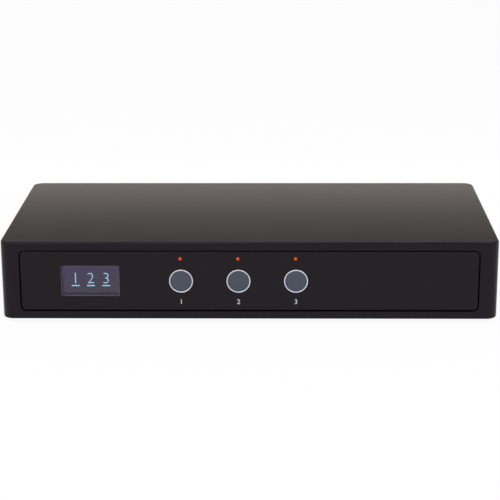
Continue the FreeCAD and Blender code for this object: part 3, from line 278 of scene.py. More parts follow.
class Finish:
    """A node tree under construction, for a material or for the world."""

    def __init__(self, tree):
        self.tree = tree
        tree.nodes.clear()

    def node(self, kind, settings=None, sockets=None):
        """Add a node: first its settings, then the values or links of its sockets."""
        node = self.tree.nodes.new(kind)
        for name, setting in (settings or {}).items():
            if name == "stops":
                self.set_stops(node.color_ramp, setting)
            else:
                setattr(node, name, setting)
        for name, item in (sockets or {}).items():
            self.feed(node.inputs[name], item)
        return node

    def feed(self, socket, item):
        """Link a signal or another node's socket to this one, or set its value."""
        if isinstance(item, Signal):
            item = item.socket
        if isinstance(item, bpy.types.NodeSocket):
            self.tree.links.new(item, socket)
        elif socket.type == "RGBA" and len(item) == 3:
            socket.default_value = (*item, 1.0)
        else:
            socket.default_value = item

    def set_stops(self, ramp, stops):
        """Give a colour ramp its stops, as pairs of place and grey level."""
        for place, level in stops[len(ramp.elements):]:
            ramp.elements.new(place)
        for element, (place, level) in zip(ramp.elements, stops):
            element.position = place
            element.color = (level, level, level, 1.0)

    def arithmetic(self, operation, *terms):
        node = self.node("ShaderNodeMath", {"operation": operation}, dict(enumerate(terms)))
        return Signal(self, node.outputs[0])

    def mix(self, mask, first, second):
        """A colour that goes from the first to the second as the mask goes from 0 to 1."""
        node = self.node("ShaderNodeMix", {"data_type": "RGBA"}, {0: mask, 6: first, 7: second})
        return node.outputs[2]

    def place(self, centre=(0, 0, 0)):
        """Where a point of the surface lies, from this centre, in metres."""
        coordinates = self.node("ShaderNodeTexCoord").outputs["Object"]
        centred = self.node("ShaderNodeMapping", {}, {
            "Vector": coordinates, "Location": [-part for part in centre]})
        return centred.outputs[0]

    def split(self, vector):
        node = self.node("ShaderNodeSeparateXYZ", {}, {0: vector})
        return [Signal(self, output) for output in node.outputs]

    def distance(self, across, up):
        """How far a point is from the line along Y through its centre."""
        return self.arithmetic("SQRT", across * across + up * up)

    def noise(self, width, where=None, detail=2.0):
        """Soft random blotches of about this width, from 0 to 1."""
        node = self.node("ShaderNodeTexNoise", {}, {
            "Vector": where or self.place(), "Scale": 1 / width, "Detail": detail})
        return Signal(self, node.outputs[0])

    def rays(self):
        """For the camera's rays, the mirrored ones and those through glass: 1 or else 0."""
        outputs = self.node("ShaderNodeLightPath").outputs
        kinds = ("Is Camera Ray", "Is Glossy Ray", "Is Transmission Ray")
        return [Signal(self, outputs[kind]) for kind in kinds]

    def ramp(self, signal, *stops):
        node = self.node("ShaderNodeValToRGB", {"stops": stops}, {0: signal})
        return Signal(self, node.outputs[0])

    def relief(self, height, depth):
        """A surface normal for a relief that goes this deep, in metres."""
        node = self.node("ShaderNodeBump", {}, {"Height": height, "Distance": depth})
        return node.outputs[0]

    def surface(self, sockets):
        """End the tree in the usual surface shader."""
        shader = self.node("ShaderNodeBsdfPrincipled", {}, sockets)
        self.node("ShaderNodeOutputMaterial", {}, {"Surface": shader.outputs[0]})


def start_finish(name):
    """A new material and the tree that it is made of."""
    material = bpy.data.materials.new(name)
    material.use_nodes = True
    return material, Finish(material.node_tree)


def lighter(tint, times):
    """A colour made this many times as bright."""
    return tuple(min(1.0, part * times) for part in tint)


def moulded_plastic(name, tint, grain, roughness=0.45, shine=0.5, depth=0.004 * MM):
    """Moulded plastic with a fine spark-eroded grain and faint cloudiness."""
    material, finish = start_finish(name)
    spots = finish.noise(grain, detail=3.0)
    clouds = finish.noise(90 * grain)
    finish.surface({
        "Base Color": finish.mix(clouds, lighter(tint, 0.9), lighter(tint, 1.1)),
        "Roughness": clouds * 0.06 + spots * 0.06 + (roughness - 0.06),
        "Specular IOR Level": shine,
        "Normal": finish.relief(spots, depth),
    })
    return material


def key_plastic(tint):
    """Soft-touch key plastic, speckled very finely."""
    material, finish = start_finish("key_soft_grey")
    specks = finish.noise(0.3 * MM, detail=4.0)
    spread = finish.ramp(specks, (0.35, 0.0), (0.65, 1.0))
    finish.surface({
        "Base Color": finish.mix(spread, lighter(tint, 0.86), lighter(tint, 1.1)),
        "Roughness": specks * 0.1 + 0.5,
        "Specular IOR Level": 0.3,
        "Normal": finish.relief(specks, 0.006 * MM),
    })
    return material


def turned_metal(name, tint, centre, pitch, roughness=0.3):
    """Metal turned on a lathe about a line along Y through the centre, with fine rings."""
    material, finish = start_finish(name)
    where = finish.place(centre)
    across, along, up = finish.split(where)
    radius = finish.distance(across, up)
    rings = finish.arithmetic("SINE", (radius + along) * (2 * math.pi / pitch))
    wear = finish.noise(1.5 * MM, where)
    finish.surface({
        "Base Color": finish.mix(wear, lighter(tint, 0.94), tint),
        "Metallic": 0.75,
        "Roughness": wear * 0.12 + rings * 0.03 + (roughness - 0.05),
        "Normal": finish.relief(rings, 0.001 * MM),
    })
    return material


def speckled(name, shades, speck, detail, roughness, spread, depth, constants):
    """A finish with one fine noise in its colour, from one shade to the other, and its relief."""
    material, finish = start_finish(name)
    specks = finish.noise(speck, detail=detail)
    finish.surface({
        "Base Color": finish.mix(specks, *shades),
        "Roughness": specks * spread + (roughness - spread / 2),
        "Normal": finish.relief(specks, depth),
        **constants,
    })
    return material


def plated_metal(name, tint, roughness=0.34):
    """Plated steel or brass with a faint mottled brightness."""
    return speckled(name, (lighter(tint, 0.82), tint), speck=0.8 * MM, detail=3.0,
                    roughness=roughness, spread=0.16, depth=0.004 * MM,
                    constants={"Metallic": 1.0})


def lamp_lens(name, lit, shade, axis, radius):
    """Red lens that glows on its own, brightest at a painted highlight a little above its axis, and
    dims in painted shade towards its rim.
    """
    material, finish = start_finish(name)
    across, _, up = finish.split(finish.place(axis))
    # Painted highlight: the glow peaks above the lens's axis. Below it and towards the rim it falls
    # to painted shade.
    painted_highlight_height = 0.35 * radius
    distance = finish.distance(across, up - painted_highlight_height)
    glow = finish.ramp(distance * (1 / radius), (0.25, 1.0), (0.85, 0.0))
    swirl = finish.noise(0.5 * MM)
    finish.surface({
        "Base Color": finish.mix(swirl, lighter(lit, 0.1), lighter(lit, 0.16)),
        "Roughness": swirl * 0.06 + 0.2,
        "Specular IOR Level": 0.25,
        "Emission Color": finish.mix(glow, shade, lit),
        "Emission Strength": 0.85,
        "Normal": finish.relief(swirl, 0.002 * MM),
    })
    return material


def lit_screen(near, far, low, high):
    """Display glass that glows violet at the upper left and greyer at the lower right, partly its
    own light and partly painted reflection.
    """
    material, finish = start_finish("screen_glow")
    across, _, up = finish.split(finish.place((low + high) / 2))
    # Painted reflection: the glow fades from violet at the upper left to greyer at the lower right.
    fade = across * (0.4 / (high.x - low.x)) - up * (0.6 / (high.z - low.z)) + 0.5
    haze = finish.noise(3 * MM)
    finish.surface({
        "Base Color": finish.mix(haze, (0.004, 0.004, 0.006), (0.008, 0.007, 0.01)),
        "Roughness": haze * 0.08 + 0.2,
        "Emission Color": finish.mix(fade + (haze - 0.5) * 0.3, near, far),
        "Emission Strength": 1.0,
    })
    return material


def clear_pane(tint, low, high, border):
    """Clear pane with a slightly milky edge, where light gathers, most of all at its foot."""
    material, finish = start_finish("pane_clear")
    across, along, up = finish.split(finish.place((low + high) / 2))
    side_gap = (high.x - low.x) / 2 - abs(across)
    end_gap = (high.z - low.z) / 2 - abs(up)
    edge = finish.arithmetic("MINIMUM", side_gap, end_gap) * (1 / border)
    gathered = 0.87 - up * (0.35 / (high.z - low.z))
    milky = finish.ramp(edge, (0.55, 1.0), (1.0, 0.0)) * gathered
    front = along < 0.05 * MM - (high.y - low.y) / 2
    dust = finish.noise(0.6 * MM, detail=4.0)
    finish.surface({
        "Base Color": finish.mix(milky * (front * 0.5 + 0.5), (0.01, 0.01, 0.012), tint),
        "Roughness": dust * 0.05 + 0.08,
        "Specular IOR Level": 0.35,
        "Alpha": milky * 0.72 + 0.08,
    })
    return material


def glowing_digits(tint):
    """Lit display dots, closely spaced."""
    material, finish = start_finish("digit_glow")
    across, _, up = finish.split(finish.place())
    pitch = 2 * math.pi / (0.18 * MM)
    columns = finish.arithmetic("SINE", across * pitch)
    rows = finish.arithmetic("SINE", up * pitch)
    dots = columns * rows * 0.5 + 0.5
    finish.surface({
        "Base Color": (0.02, 0.02, 0.02),
        "Roughness": 0.4,
        "Emission Color": finish.mix(dots, lighter(tint, 0.75), tint),
        "Emission Strength": 1.0,
    })
    return material


def printed_ink(tint):
    """Screen-printed ink, slightly uneven."""
    material, finish = start_finish("ink_grey")
    spread = finish.noise(0.12 * MM, detail=3.0)
    finish.surface({
        "Base Color": finish.mix(spread, lighter(tint, 0.85), tint),
        "Roughness": spread * 0.1 + 0.5,
    })
    return material


def circuit_board(tint):
    """Solder mask over copper tracks."""
    material, finish = start_finish("board_mask")
    cells = finish.node("ShaderNodeTexVoronoi", {"distance": "MANHATTAN"}, {
        "Vector": finish.place(), "Scale": 1 / (5 * MM)})
    steps = Signal(finish, cells.outputs["Distance"]) * 6.0
    tracks = finish.arithmetic("FRACT", steps) > 0.62
    weave = finish.noise(0.4 * MM)
    finish.surface({
        "Base Color": finish.mix(tracks, lighter(tint, 0.8), lighter(tint, 1.5)),
        "Roughness": weave * 0.1 + 0.3,
        "Normal": finish.relief(tracks, 0.03 * MM),
    })
    return material


def flat_cable(tint, axis, pitch):
    """Amber film with fine conductors along it, counted from its axis."""
    material, finish = start_finish("flex_film")
    across = finish.split(finish.place(axis))[0]
    lines = finish.arithmetic("SINE", across * (2 * math.pi / pitch)) > 0.0
    film = finish.noise(1.2 * MM)
    finish.surface({
        "Base Color": finish.mix(lines, tint, lighter(tint, 0.6)),
        "Roughness": film * 0.1 + 0.3,
        "Normal": finish.relief(lines, 0.02 * MM),
    })
    return material


def capacitor_sleeve(tint, top):
    """Shrunk sleeve with bare metal on top."""
    material, finish = start_finish("capacitor_can")
    across, _, up = finish.split(finish.place((0, 0, top)))
    cap = up > -0.05 * MM
    shrink = finish.noise(0.9 * MM)
    finish.surface({
        "Base Color": finish.mix(cap, tint, (0.62, 0.62, 0.64)),
        "Metallic": cap,
        "Roughness": shrink * 0.1 + 0.24,
        "Normal": finish.relief(shrink, 0.01 * MM),
    })
    return material


def lined_plastic(name, tint, metal, axis, lining):
    """Black plastic with bright metal as far as this from a line along Y."""
    material, finish = start_finish(name)
    across, _, up = finish.split(finish.place(axis))
    bright = finish.distance(across, up) < lining
    spots = finish.noise(0.3 * MM, detail=3.0)
    finish.surface({
        "Base Color": finish.mix(bright, tint, metal),
        "Metallic": bright,
        "Roughness": spots * 0.1 + 0.3,
        "Normal": finish.relief(spots, 0.004 * MM),
    })
    return material


def rubber(tint):
    """Dull rubber with a fine bloom."""
    return speckled("rubber_black", (lighter(tint, 0.8), lighter(tint, 1.3)), speck=0.5 * MM,
                    detail=5.0, roughness=0.8, spread=0.12, depth=0.02 * MM,
                    constants={"Specular IOR Level": 0.3})


# ---- Meshes ----

def new_piece(name, mesh):
    piece = bpy.data.objects.new(name, mesh)
    bpy.context.scene.collection.objects.link(piece)
    return piece


def plain_mesh(piece):
    """The object's own mesh with its modifiers worked in."""
    graph = bpy.context.evaluated_depsgraph_get()
    return bpy.data.meshes.new_from_object(
        piece.evaluated_get(graph), preserve_all_data_layers=True, depsgraph=graph)


def work_in_modifiers(piece):
    mesh = plain_mesh(piece)
    piece.modifiers.clear()
    piece.data = mesh


def smooth(mesh):
    mesh.shade_smooth()
    mesh.set_sharp_from_angle(angle=SHARP)


def finished_mesh(name, form):
    """The plain mesh of an editable form, which is used up."""
    mesh = bpy.data.meshes.new(name)
    form.to_mesh(mesh)
    form.free()
    return mesh


def extent(verts):
    """The lowest and the highest corner of the box round these corners."""
    low = Vector([min(vert.co[axis] for vert in verts) for axis in range(3)])
    high = Vector([max(vert.co[axis] for vert in verts) for axis in range(3)])
    return low, high


def thicken(form, depth):
    """Turn a flat form into a solid that reaches this far to the front."""
    flat = form.faces[:]
    rim = [edge for edge in form.edges if edge.is_boundary]
    raised = {vert: form.verts.new(vert.co + FRONT * depth) for vert in form.verts[:]}
    for face in flat:
        form.faces.new([raised[vert] for vert in face.verts])
    for near, far in (edge.verts for edge in rim):
        form.faces.new([near, far, raised[far], raised[near]])
    bmesh.ops.recalc_face_normals(form, faces=form.faces)


def welded(node):
    """An editable copy of a CAD node's mesh, with flat faces in one piece."""
    form = bmesh.new()
    form.from_mesh(frame["nodes"][node].data)
    bmesh.ops.remove_doubles(form, verts=form.verts, dist=WELD)
    bmesh.ops.dissolve_limit(form, angle_limit=FLAT, verts=form.verts, edges=form.edges)
    return form


def solids(node):
    """The lowest and highest corner of each separate solid of a CAD node."""
    form = welded(node)
    left = set(form.verts)
    boxes = []
    while left:
        island = {left.pop()}
        border = list(island)
        while border:
            for edge in border.pop().link_edges:
                fresh = set(edge.verts) & left
                left -= fresh
                island |= fresh
                border.extend(fresh)
        boxes.append(extent(island))
    form.free()
    return sorted(boxes, key=lambda box: tuple(round(part, 6) for part in box[0]))


def corner_radii(node, axis):
    """How far each corner of a node is from a line along Y, and how deep it lies."""
    corners = [vert.co for vert in frame["nodes"][node].data.vertices]
    return [(math.hypot(corner.x - axis.x, corner.z - axis.z), corner.y) for corner in corners]


def eased_copy(name, node, edge, limited=True):
    """A copy of a CAD node with its sharp edges rounded, held back by short edges if limited."""
    mesh = finished_mesh(name, welded(node))
    piece = new_piece(name, mesh)
    bevel = piece.modifiers.new("edges", "BEVEL")
    bevel.width = edge
    bevel.segments = 2
    bevel.use_clamp_overlap = limited
    bevel.limit_method = "ANGLE"
    bevel.angle_limit = SHARP
    bevel.miter_outer = "MITER_ARC"
    piece.modifiers.new("shading", "WEIGHTED_NORMAL").keep_sharp = True
    mesh.shade_smooth()
    work_in_modifiers(piece)
    return piece


def eased(corners, steps=4):
    """Round the corners of an outline, each given as (radius, distance, rounding)."""
    points = []
    for number, (radius, distance, rounding) in enumerate(corners):
        corner = Vector((radius, distance))
        if rounding == 0:
            points.append(corner)
            continue
        before = Vector(corners[number - 1][:2])
        after = Vector(corners[(number + 1) % len(corners)][:2])
        start = corner + (before - corner).normalized() * rounding
        end = corner + (after - corner).normalized() * rounding
        for step in range(steps + 1):
            way = step / steps
            points.append(start.lerp(corner, way).lerp(corner.lerp(end, way), way))
    return points


def lathe(name, outline, centre, toward, closed=False, sides=96):
    """Turn an outline of (radius, distance) points about an axis through the centre."""
    turn = Vector(toward).to_track_quat("Z", "Y")
    form = bmesh.new()
    rings = []
    for radius, distance in outline:
        if radius < WELD:
            rings.append([form.verts.new(centre + turn @ Vector((0, 0, distance)))] * sides)
            continue
        ring = []
        for side in range(sides):
            around = 2 * math.pi * side / sides
            spot = Vector((radius * math.cos(around), radius * math.sin(around), distance))
            ring.append(form.verts.new(centre + turn @ spot))
        rings.append(ring)
    pairs = list(zip(rings, rings[1:]))
    if closed:
        pairs.append((rings[-1], rings[0]))
    for here, there in pairs:
        for side in range(sides):
            after = (side + 1) % sides
            corners = [here[side], here[after], there[after], there[side]]
            form.faces.new(list(dict.fromkeys(corners)))
    bmesh.ops.recalc_face_normals(form, faces=form.faces)
    mesh = finished_mesh(name, form)
    smooth(mesh)
    return new_piece(name, mesh)


def plate_mesh(width, height, depth, centre, corner, steps=6):
    """A thin plate with round corners that faces the front, its back at the centre's depth."""
    form = bmesh.new()
    outline = []
    for side_x, side_z, start in ((1, 1, 0), (-1, 1, 90), (-1, -1, 180), (1, -1, 270)):
        for step in range(steps + 1):
            around = math.radians(start + 90 * step / steps)
            outline.append(Vector((
                side_x * (width / 2 - corner) + corner * math.cos(around), 0,
                side_z * (height / 2 - corner) + corner * math.sin(around))) + centre)
    form.faces.new([form.verts.new(point) for point in outline])
    thicken(form, depth)
    return finished_mesh("plate", form)


def numeral_mesh(text, height, depth, centre, thinning=0.0):
    """A solid numeral that faces the front, its back at the centre's depth."""
    curve = bpy.data.curves.new("numeral", "FONT")
    curve.body = text
    curve.resolution_u = 6
    curve.offset = -thinning / height
    holder = new_piece("numeral", curve)
    bpy.context.view_layer.update()
    flat = plain_mesh(holder)
    bpy.data.objects.remove(holder)
    form = bmesh.new()
    form.from_mesh(flat)
    bpy.data.meshes.remove(flat)
    bmesh.ops.remove_doubles(form, verts=form.verts, dist=WELD)
    low, high = extent(form.verts)
    bmesh.ops.translate(form, verts=form.verts, vec=-(low + high) / 2)
    bmesh.ops.scale(form, verts=form.verts, vec=Vector((1, 1, 1)) * (height / (high.y - low.y)))
    bmesh.ops.rotate(form, verts=form.verts, matrix=Matrix.Rotation(QUARTER, 3, "X"))
    bmesh.ops.translate(form, verts=form.verts, vec=centre)
    thicken(form, depth)
    return finished_mesh("numeral", form)


def joined(name, meshes):
    """One piece made of several meshes."""
    form = bmesh.new()
    for mesh in meshes:
        form.from_mesh(mesh)
    return new_piece(name, finished_mesh(name, form))


def screw_template(radius, reach, head_radius, head_height, sizes, slots):
    """A screw with its bearing face at the origin, its head below and its shank above."""
    corners = [(0, -head_height, 0), (head_radius, -head_height, HEAD_DOME * head_height)]
    corners += [(head_radius, 0, sizes.head_edge), (radius, 0, 0)]
    turns = max(1, int(reach / sizes.thread_pitch) - 1)
    for turn in range(turns):
        start = (turn + THREAD_START) * sizes.thread_pitch
        crest = start + 0.5 * sizes.thread_pitch
        corners += [(THREAD_ROOT * radius, start, 0), (radius, crest, 0)]
    corners += [(SHANK_POINT * radius, reach, 0), (0, reach, 0)]
    screw = lathe("screw_template", eased(corners), Vector(), UP, sides=32)
    form = bmesh.new()
    for number in range(slots):
        turn = Matrix.Rotation(number * math.pi / slots, 4, "Z")
        size = Matrix.Diagonal((RECESS_REACH * head_radius, sizes.recess_width, head_height, 1))
        shift = Matrix.Translation(-UP * head_height)
        bmesh.ops.create_cube(form, size=1, matrix=turn @ shift @ size)
    recess = new_piece("recess", finished_mesh("recess", form))
    cut = screw.modifiers.new("recess", "BOOLEAN")
    cut.object = recess
    cut.use_self = True
    work_in_modifiers(screw)
    bpy.data.objects.remove(recess)
    smooth(screw.data)
    return screw


def copies(name, template, places, facing, finish, spin, seed):
    """A copy of the template at each place, laid out by Geometry Nodes, as one plain mesh."""
    tree = bpy.data.node_groups.new(name + "_layout", "GeometryNodeTree")
    sockets = {}
    for label, kind in (("Places", "Geometry"), ("Template", "Object"), ("Facing", "Vector"),
                        ("Spin", "Float"), ("Seed", "Int"), ("Finish", "Material")):
        sockets[label] = tree.interface.new_socket(
            label, in_out="INPUT", socket_type="NodeSocket" + kind).identifier
    tree.interface.new_socket("Copies", in_out="OUTPUT", socket_type="NodeSocketGeometry")

    def node(kind, **links):
        made = tree.nodes.new(kind)
        for label, source in links.items():
            tree.links.new(source, made.inputs[label.replace("_", " ")])
        return made

    given = node("NodeGroupInput").outputs
    info = node("GeometryNodeObjectInfo", Object=given["Template"])
    stand = node("GeometryNodeInstanceOnPoints", Points=given["Places"],
                 Instance=info.outputs["Geometry"], Rotation=given["Facing"])
    back = node("ShaderNodeMath", Value=given["Spin"])
    back.operation = "MULTIPLY"
    back.inputs[1].default_value = -1.0
    chance = node("FunctionNodeRandomValue", Min=back.outputs[0], Max=given["Spin"],
                  Seed=given["Seed"])
    about = node("ShaderNodeCombineXYZ", Z=chance.outputs[1])
    turned = node("GeometryNodeRotateInstances", Instances=stand.outputs[0],
                  Rotation=about.outputs[0])
    real = node("GeometryNodeRealizeInstances", Geometry=turned.outputs[0])
    painted = node("GeometryNodeSetMaterial", Geometry=real.outputs[0], Material=given["Finish"])
    tree.links.new(painted.outputs[0], node("NodeGroupOutput").inputs[0])

    mesh = bpy.data.meshes.new(name)
    mesh.from_pydata(places, [], [])
    piece = new_piece(name, mesh)
    layout = piece.modifiers.new("layout", "NODES")
    layout.node_group = tree
    layout[sockets["Template"]] = template
    layout[sockets["Facing"]] = facing
    layout[sockets["Spin"]] = spin
    layout[sockets["Seed"]] = seed
    layout[sockets["Finish"]] = finish
    work_in_modifiers(piece)
    bpy.data.objects.remove(template)
    return piece


# ---- Places in the frame ----

def paint(piece, finish):
    """Give a piece one finish."""
    piece.data.materials.clear()
    piece.data.materials.append(finish)


def keep(finish, *nodes):
    """Give CAD nodes that stay as they are their finish."""
    for node in nodes:
        paint(frame["nodes"][node], finish)


def stand_for(piece, node):
    """Let a piece take the place and the body of a CAD node, which is hidden."""
    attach(piece, frame["nodes"][node]["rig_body"])
    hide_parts(node)


def middle(node):
    low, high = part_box(node)
    return (low + high) / 2


def round_form(node):
    """Front, rear, axis and outer radius of a node that is round about a line along Y."""
    low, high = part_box(node)
    axis = middle(node)
    axis.y = 0
    return low.y, high.y, axis, (high.x - low.x) / 2


def put_moulding(node, edge, finish, name="", limited=True):
    """Let a copy of a CAD node with rounded edges stand for it."""
    piece = eased_copy(name or node + "_moulding", node, edge, limited)
    paint(piece, finish)
    stand_for(piece, node)


def put_turning(name, node, outline, axis, finish, closed=False, sides=96):
    """Let a form turned about a line along Y stand for a CAD node."""
    piece = lathe(name, outline, axis, -FRONT, closed=closed, sides=sides)
    paint(piece, finish)
    stand_for(piece, node)


# ---- Pieces ----

def chosen(context):
    """The sizes and the colours that are set in the sidebar."""
    return context.scene.selector_sizes, context.scene.selector_colours


class SELECTOR_OT_case(bpy.types.Operator):
    """Dress the top shell and the base plate"""

    bl_idname = "selector.case"
    bl_label = "Case"

    def execute(self, context):
        sizes, tints = chosen(context)
        black = moulded_plastic("case_satin_black", tints.case, sizes.case_grain,
                                roughness=0.24, shine=0.165)
        put_moulding("top_shell", sizes.case_edge, black, limited=False)
        put_moulding("base_plate", sizes.base_edge, black)
        return {"FINISHED"}


class SELECTOR_OT_panels(bpy.types.Operator):
    """Dress the front and the rear panel"""

    bl_idname = "selector.panels"
    bl_label = "Panels"

    def execute(self, context):
        sizes, tints = chosen(context)
        black = moulded_plastic("panel_matt_black", tints.fascia, sizes.panel_grain,
                                roughness=0.5, shine=0.165)
        for node in ("front_panel", "rear_panel"):
            put_moulding(node, sizes.panel_edge, black)
        return {"FINISHED"}


class SELECTOR_OT_keys(bpy.types.Operator):
    """Make the round keys and their bright rings"""

    bl_idname = "selector.keys"
    bl_label = "Keys"

    def execute(self, context):
        sizes, tints = chosen(context)
        grey = key_plastic(tints.key)
        for zone in ZONES:
            self.make_ring(zone, sizes, tints)
            self.make_key(zone, sizes, grey)
        return {"FINISHED"}

    def make_ring(self, zone, sizes, tints):
        node = "zone_%d_ring" % zone
        front, rear, axis, outer = round_form(node)
        bore = min(radius for radius, depth in corner_radii(node, axis)) + sizes.ring_ease
        corners = [(bore, front, sizes.ring_lip), (outer, front, sizes.ring_lip),
                   (outer, rear, sizes.ring_back), (bore, rear, sizes.ring_back)]
        bright = turned_metal("ring_metal_%d" % zone, tints.ring, axis, pitch=0.09 * MM)
        put_turning("zone_%d_trim_ring" % zone, node, eased(corners), axis, bright, closed=True)

    def make_key(self, zone, sizes, grey):
        node = "zone_%d_button" % zone
        front, rear, axis, collar = round_form(node)
        radii = corner_radii(node, axis)
        face = max(radius for radius, depth in radii if depth <= front + WELD) + sizes.ring_ease
        step = min(depth for radius, depth in radii if radius > collar - NEAR)
        corners = [(0, front, 0), (face, front, sizes.key_edge), (face, step, sizes.key_step),
                   (collar, step, sizes.key_collar), (collar, rear, sizes.key_collar),
                   (0, rear, 0)]
        put_turning("zone_%d_keycap" % zone, node, eased(corners), axis, grey)


class SELECTOR_OT_lamps(bpy.types.Operator):
    """Make the domed indicator lenses"""

    bl_idname = "selector.lamps"
    bl_label = "Lamps"

    def execute(self, context):
        tints = context.scene.selector_colours
        for zone in ZONES:
            node = "zone_%d_light_pipe" % zone
            front, rear, axis, radius = round_form(node)
            finish = lamp_lens("lens_red_%d" % zone, tints.lamp, tints.lamp_shade, axis, radius)
            put_turning("zone_%d_lens" % zone, node, self.outline(front, rear, radius), axis,
                        finish, sides=48)
        return {"FINISHED"}

    def outline(self, front, rear, radius, steps=8):
        """Half the section of a lens, domed as far as it stands out of the front panel."""
        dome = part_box("front_panel")[0].y - front
        points = []
        for step in range(steps + 1):
            around = math.radians(90 * step / steps)
            points.append((radius * math.sin(around), front + dome * (1 - math.cos(around))))
        return points + [(radius, rear), (0, rear)]


class SELECTOR_OT_display(bpy.types.Operator):
    """Make the display's pane and its lit digits"""

    bl_idname = "selector.display"
    bl_label = "Display"

    def execute(self, context):
        sizes, tints = chosen(context)
        low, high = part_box("display_window")
        keep(lit_screen(tints.screen, tints.screen_far, low, high), "display_glass")
        clear = clear_pane(tints.pane, low, high, sizes.pane_border)
        put_moulding("display_window", sizes.pane_edge, clear, name="display_pane")

        thickness = sizes.ink_thickness
        centre = (low + high) / 2
        centre.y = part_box("display_glass")[0].y
        lift = Vector((0, 0, (sizes.bar_height + sizes.bar_gap) / 2))
        drop = Vector((0, 0, sizes.digit_height / 2 + sizes.bar_gap + sizes.bar_height / 2))
        shapes = []
        for zone in ZONES:
            spot = centre + lift + Vector(((zone - 2) * sizes.digit_spacing, 0, 0))
            shapes.append(numeral_mesh(str(zone), sizes.digit_height, thickness, spot,
                                       sizes.digit_thinning))
            shapes.append(plate_mesh(sizes.bar_width, sizes.bar_height, thickness, spot - drop,
                                     corner=0.3 * sizes.bar_height))
        digits = joined("display_digits", shapes)
        paint(digits, glowing_digits(tints.digits))
        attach(digits, CASE)
        return {"FINISHED"}


class SELECTOR_OT_numerals(bpy.types.Operator):
    """Print the numerals under the keys"""

    bl_idname = "selector.numerals"
    bl_label = "Numerals"

    def execute(self, context):
        sizes, tints = chosen(context)
        shapes = []
        for zone in ZONES:
            spot = middle("zone_%d_ring" % zone) - Vector((0, 0, sizes.numeral_drop))
            spot.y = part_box("front_panel")[0].y
            shapes.append(numeral_mesh(str(zone), sizes.numeral_height, sizes.ink_thickness, spot))
        numerals = joined("key_numerals", shapes)
        paint(numerals, printed_ink(tints.ink))
        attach(numerals, CASE)
        return {"FINISHED"}


class SELECTOR_OT_terminals(bpy.types.Operator):
    """Dress the loudspeaker terminals with their clamps and screws"""

    bl_idname = "selector.terminals"
    bl_label = "Terminals"

    def execute(self, context):
        sizes, tints = chosen(context)
        seed = context.scene.selector_stage.seed
        green = moulded_plastic("terminal_green", tints.terminal, grain=0.4 * MM, roughness=0.42)
        steel = plated_metal("terminal_steel", tints.steel)
        keep(plated_metal("pin_tin", tints.brass), "socket_pins")
        for number, name in enumerate(TERMINALS):
            for part in ("socket", "plug"):
                put_moulding("%s_%s" % (name, part), sizes.connector_edge, green)
            keep(steel, name + "_plug_clamps")
            self.make_screws(name + "_plug_screws", steel, sizes, seed + number)
        return {"FINISHED"}

    def make_screws(self, node, steel, sizes, seed):
        boxes = solids(node)
        low, high = boxes[0]
        radius = (high.x - low.x) / 2
        depth = high.z - low.z
        head = TERMINAL_HEAD * depth
        template = screw_template(TERMINAL_SHANK * radius, depth - head, radius, head, sizes,
                                  slots=1)
        rise = UP * (depth / 2 - head)
        places = [(box[0] + box[1]) / 2 + rise for box in boxes]
        screws = copies(node + "_slotted", template, places, (math.pi, 0, 0), steel,
                        TERMINAL_TURN, seed)
        stand_for(screws, node)


class SELECTOR_OT_connectors(bpy.types.Operator):
    """Dress the power inlet and the trigger jack"""

    bl_idname = "selector.connectors"
    bl_label = "Connectors"

    def execute(self, context):
        sizes, tints = chosen(context)
        for node, metal in (("power_inlet", sizes.inlet_metal), ("trigger_jack", sizes.jack_metal)):
            lined = lined_plastic(node + "_black", tints.black_part, tints.steel,
                                  self.bore_axis(node), metal)
            put_moulding(node, sizes.connector_edge, lined)
        return {"FINISHED"}

    def bore_axis(self, node):
        """A point on the line of a connector's bore, from the round rim at its rear."""
        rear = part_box(node)[1].y - WELD
        rim = [vert.co for vert in frame["nodes"][node].data.vertices if vert.co.y > rear]
        sides = [spot.x for spot in rim]
        levels = [spot.z for spot in rim]
        return Vector(((min(sides) + max(sides)) / 2, 0, (min(levels) + max(levels)) / 2))


class SELECTOR_OT_screws(bpy.types.Operator):
    """Make the cross-head screws of the base and of the boards"""

    bl_idname = "selector.screws"
    bl_label = "Screws"

    def execute(self, context):
        sizes, tints = chosen(context)
        seed = context.scene.selector_stage.seed
        steel = plated_metal("screw_steel", tints.steel)
        for node, facing, axis, head, shank in CROSS_HEADS:
            boxes = solids(node)
            low, high = boxes[0]
            radius = (high.x - low.x) / 2
            whole = high[axis] - low[axis]
            template = screw_template(shank * radius, whole - head, radius, head, sizes, slots=2)
            inward = Euler(facing).to_matrix() @ UP
            places = [(near + far) / 2 + inward * (head - whole / 2) for near, far in boxes]
            screws = copies(node + "_crosshead", template, places, facing, steel, math.pi, seed)
            stand_for(screws, node)
        return {"FINISHED"}


class SELECTOR_OT_feet(bpy.types.Operator):
    """Make the rubber feet"""

    bl_idname = "selector.feet"
    bl_label = "Feet"

    def execute(self, context):
        sizes, tints = chosen(context)
        seed = context.scene.selector_stage.seed
        boxes = solids("rubber_feet")
        low, high = boxes[0]
        top = (high.x - low.x) / 2
        height = high.z - low.z
        corners = [(0, 0, 0), (FOOT_SOLE * top, 0, sizes.foot_edge),
                   (top, height, 0), (0, height, 0)]
        template = lathe("foot_template", eased(corners), Vector(), UP, sides=64)
        places = [Vector(((a.x + b.x) / 2, (a.y + b.y) / 2, a.z)) for a, b in boxes]
        feet = copies("rubber_feet_round", template, places, (0, 0, 0), rubber(tints.rubber),
                      math.pi, seed)
        stand_for(feet, "rubber_feet")
        return {"FINISHED"}


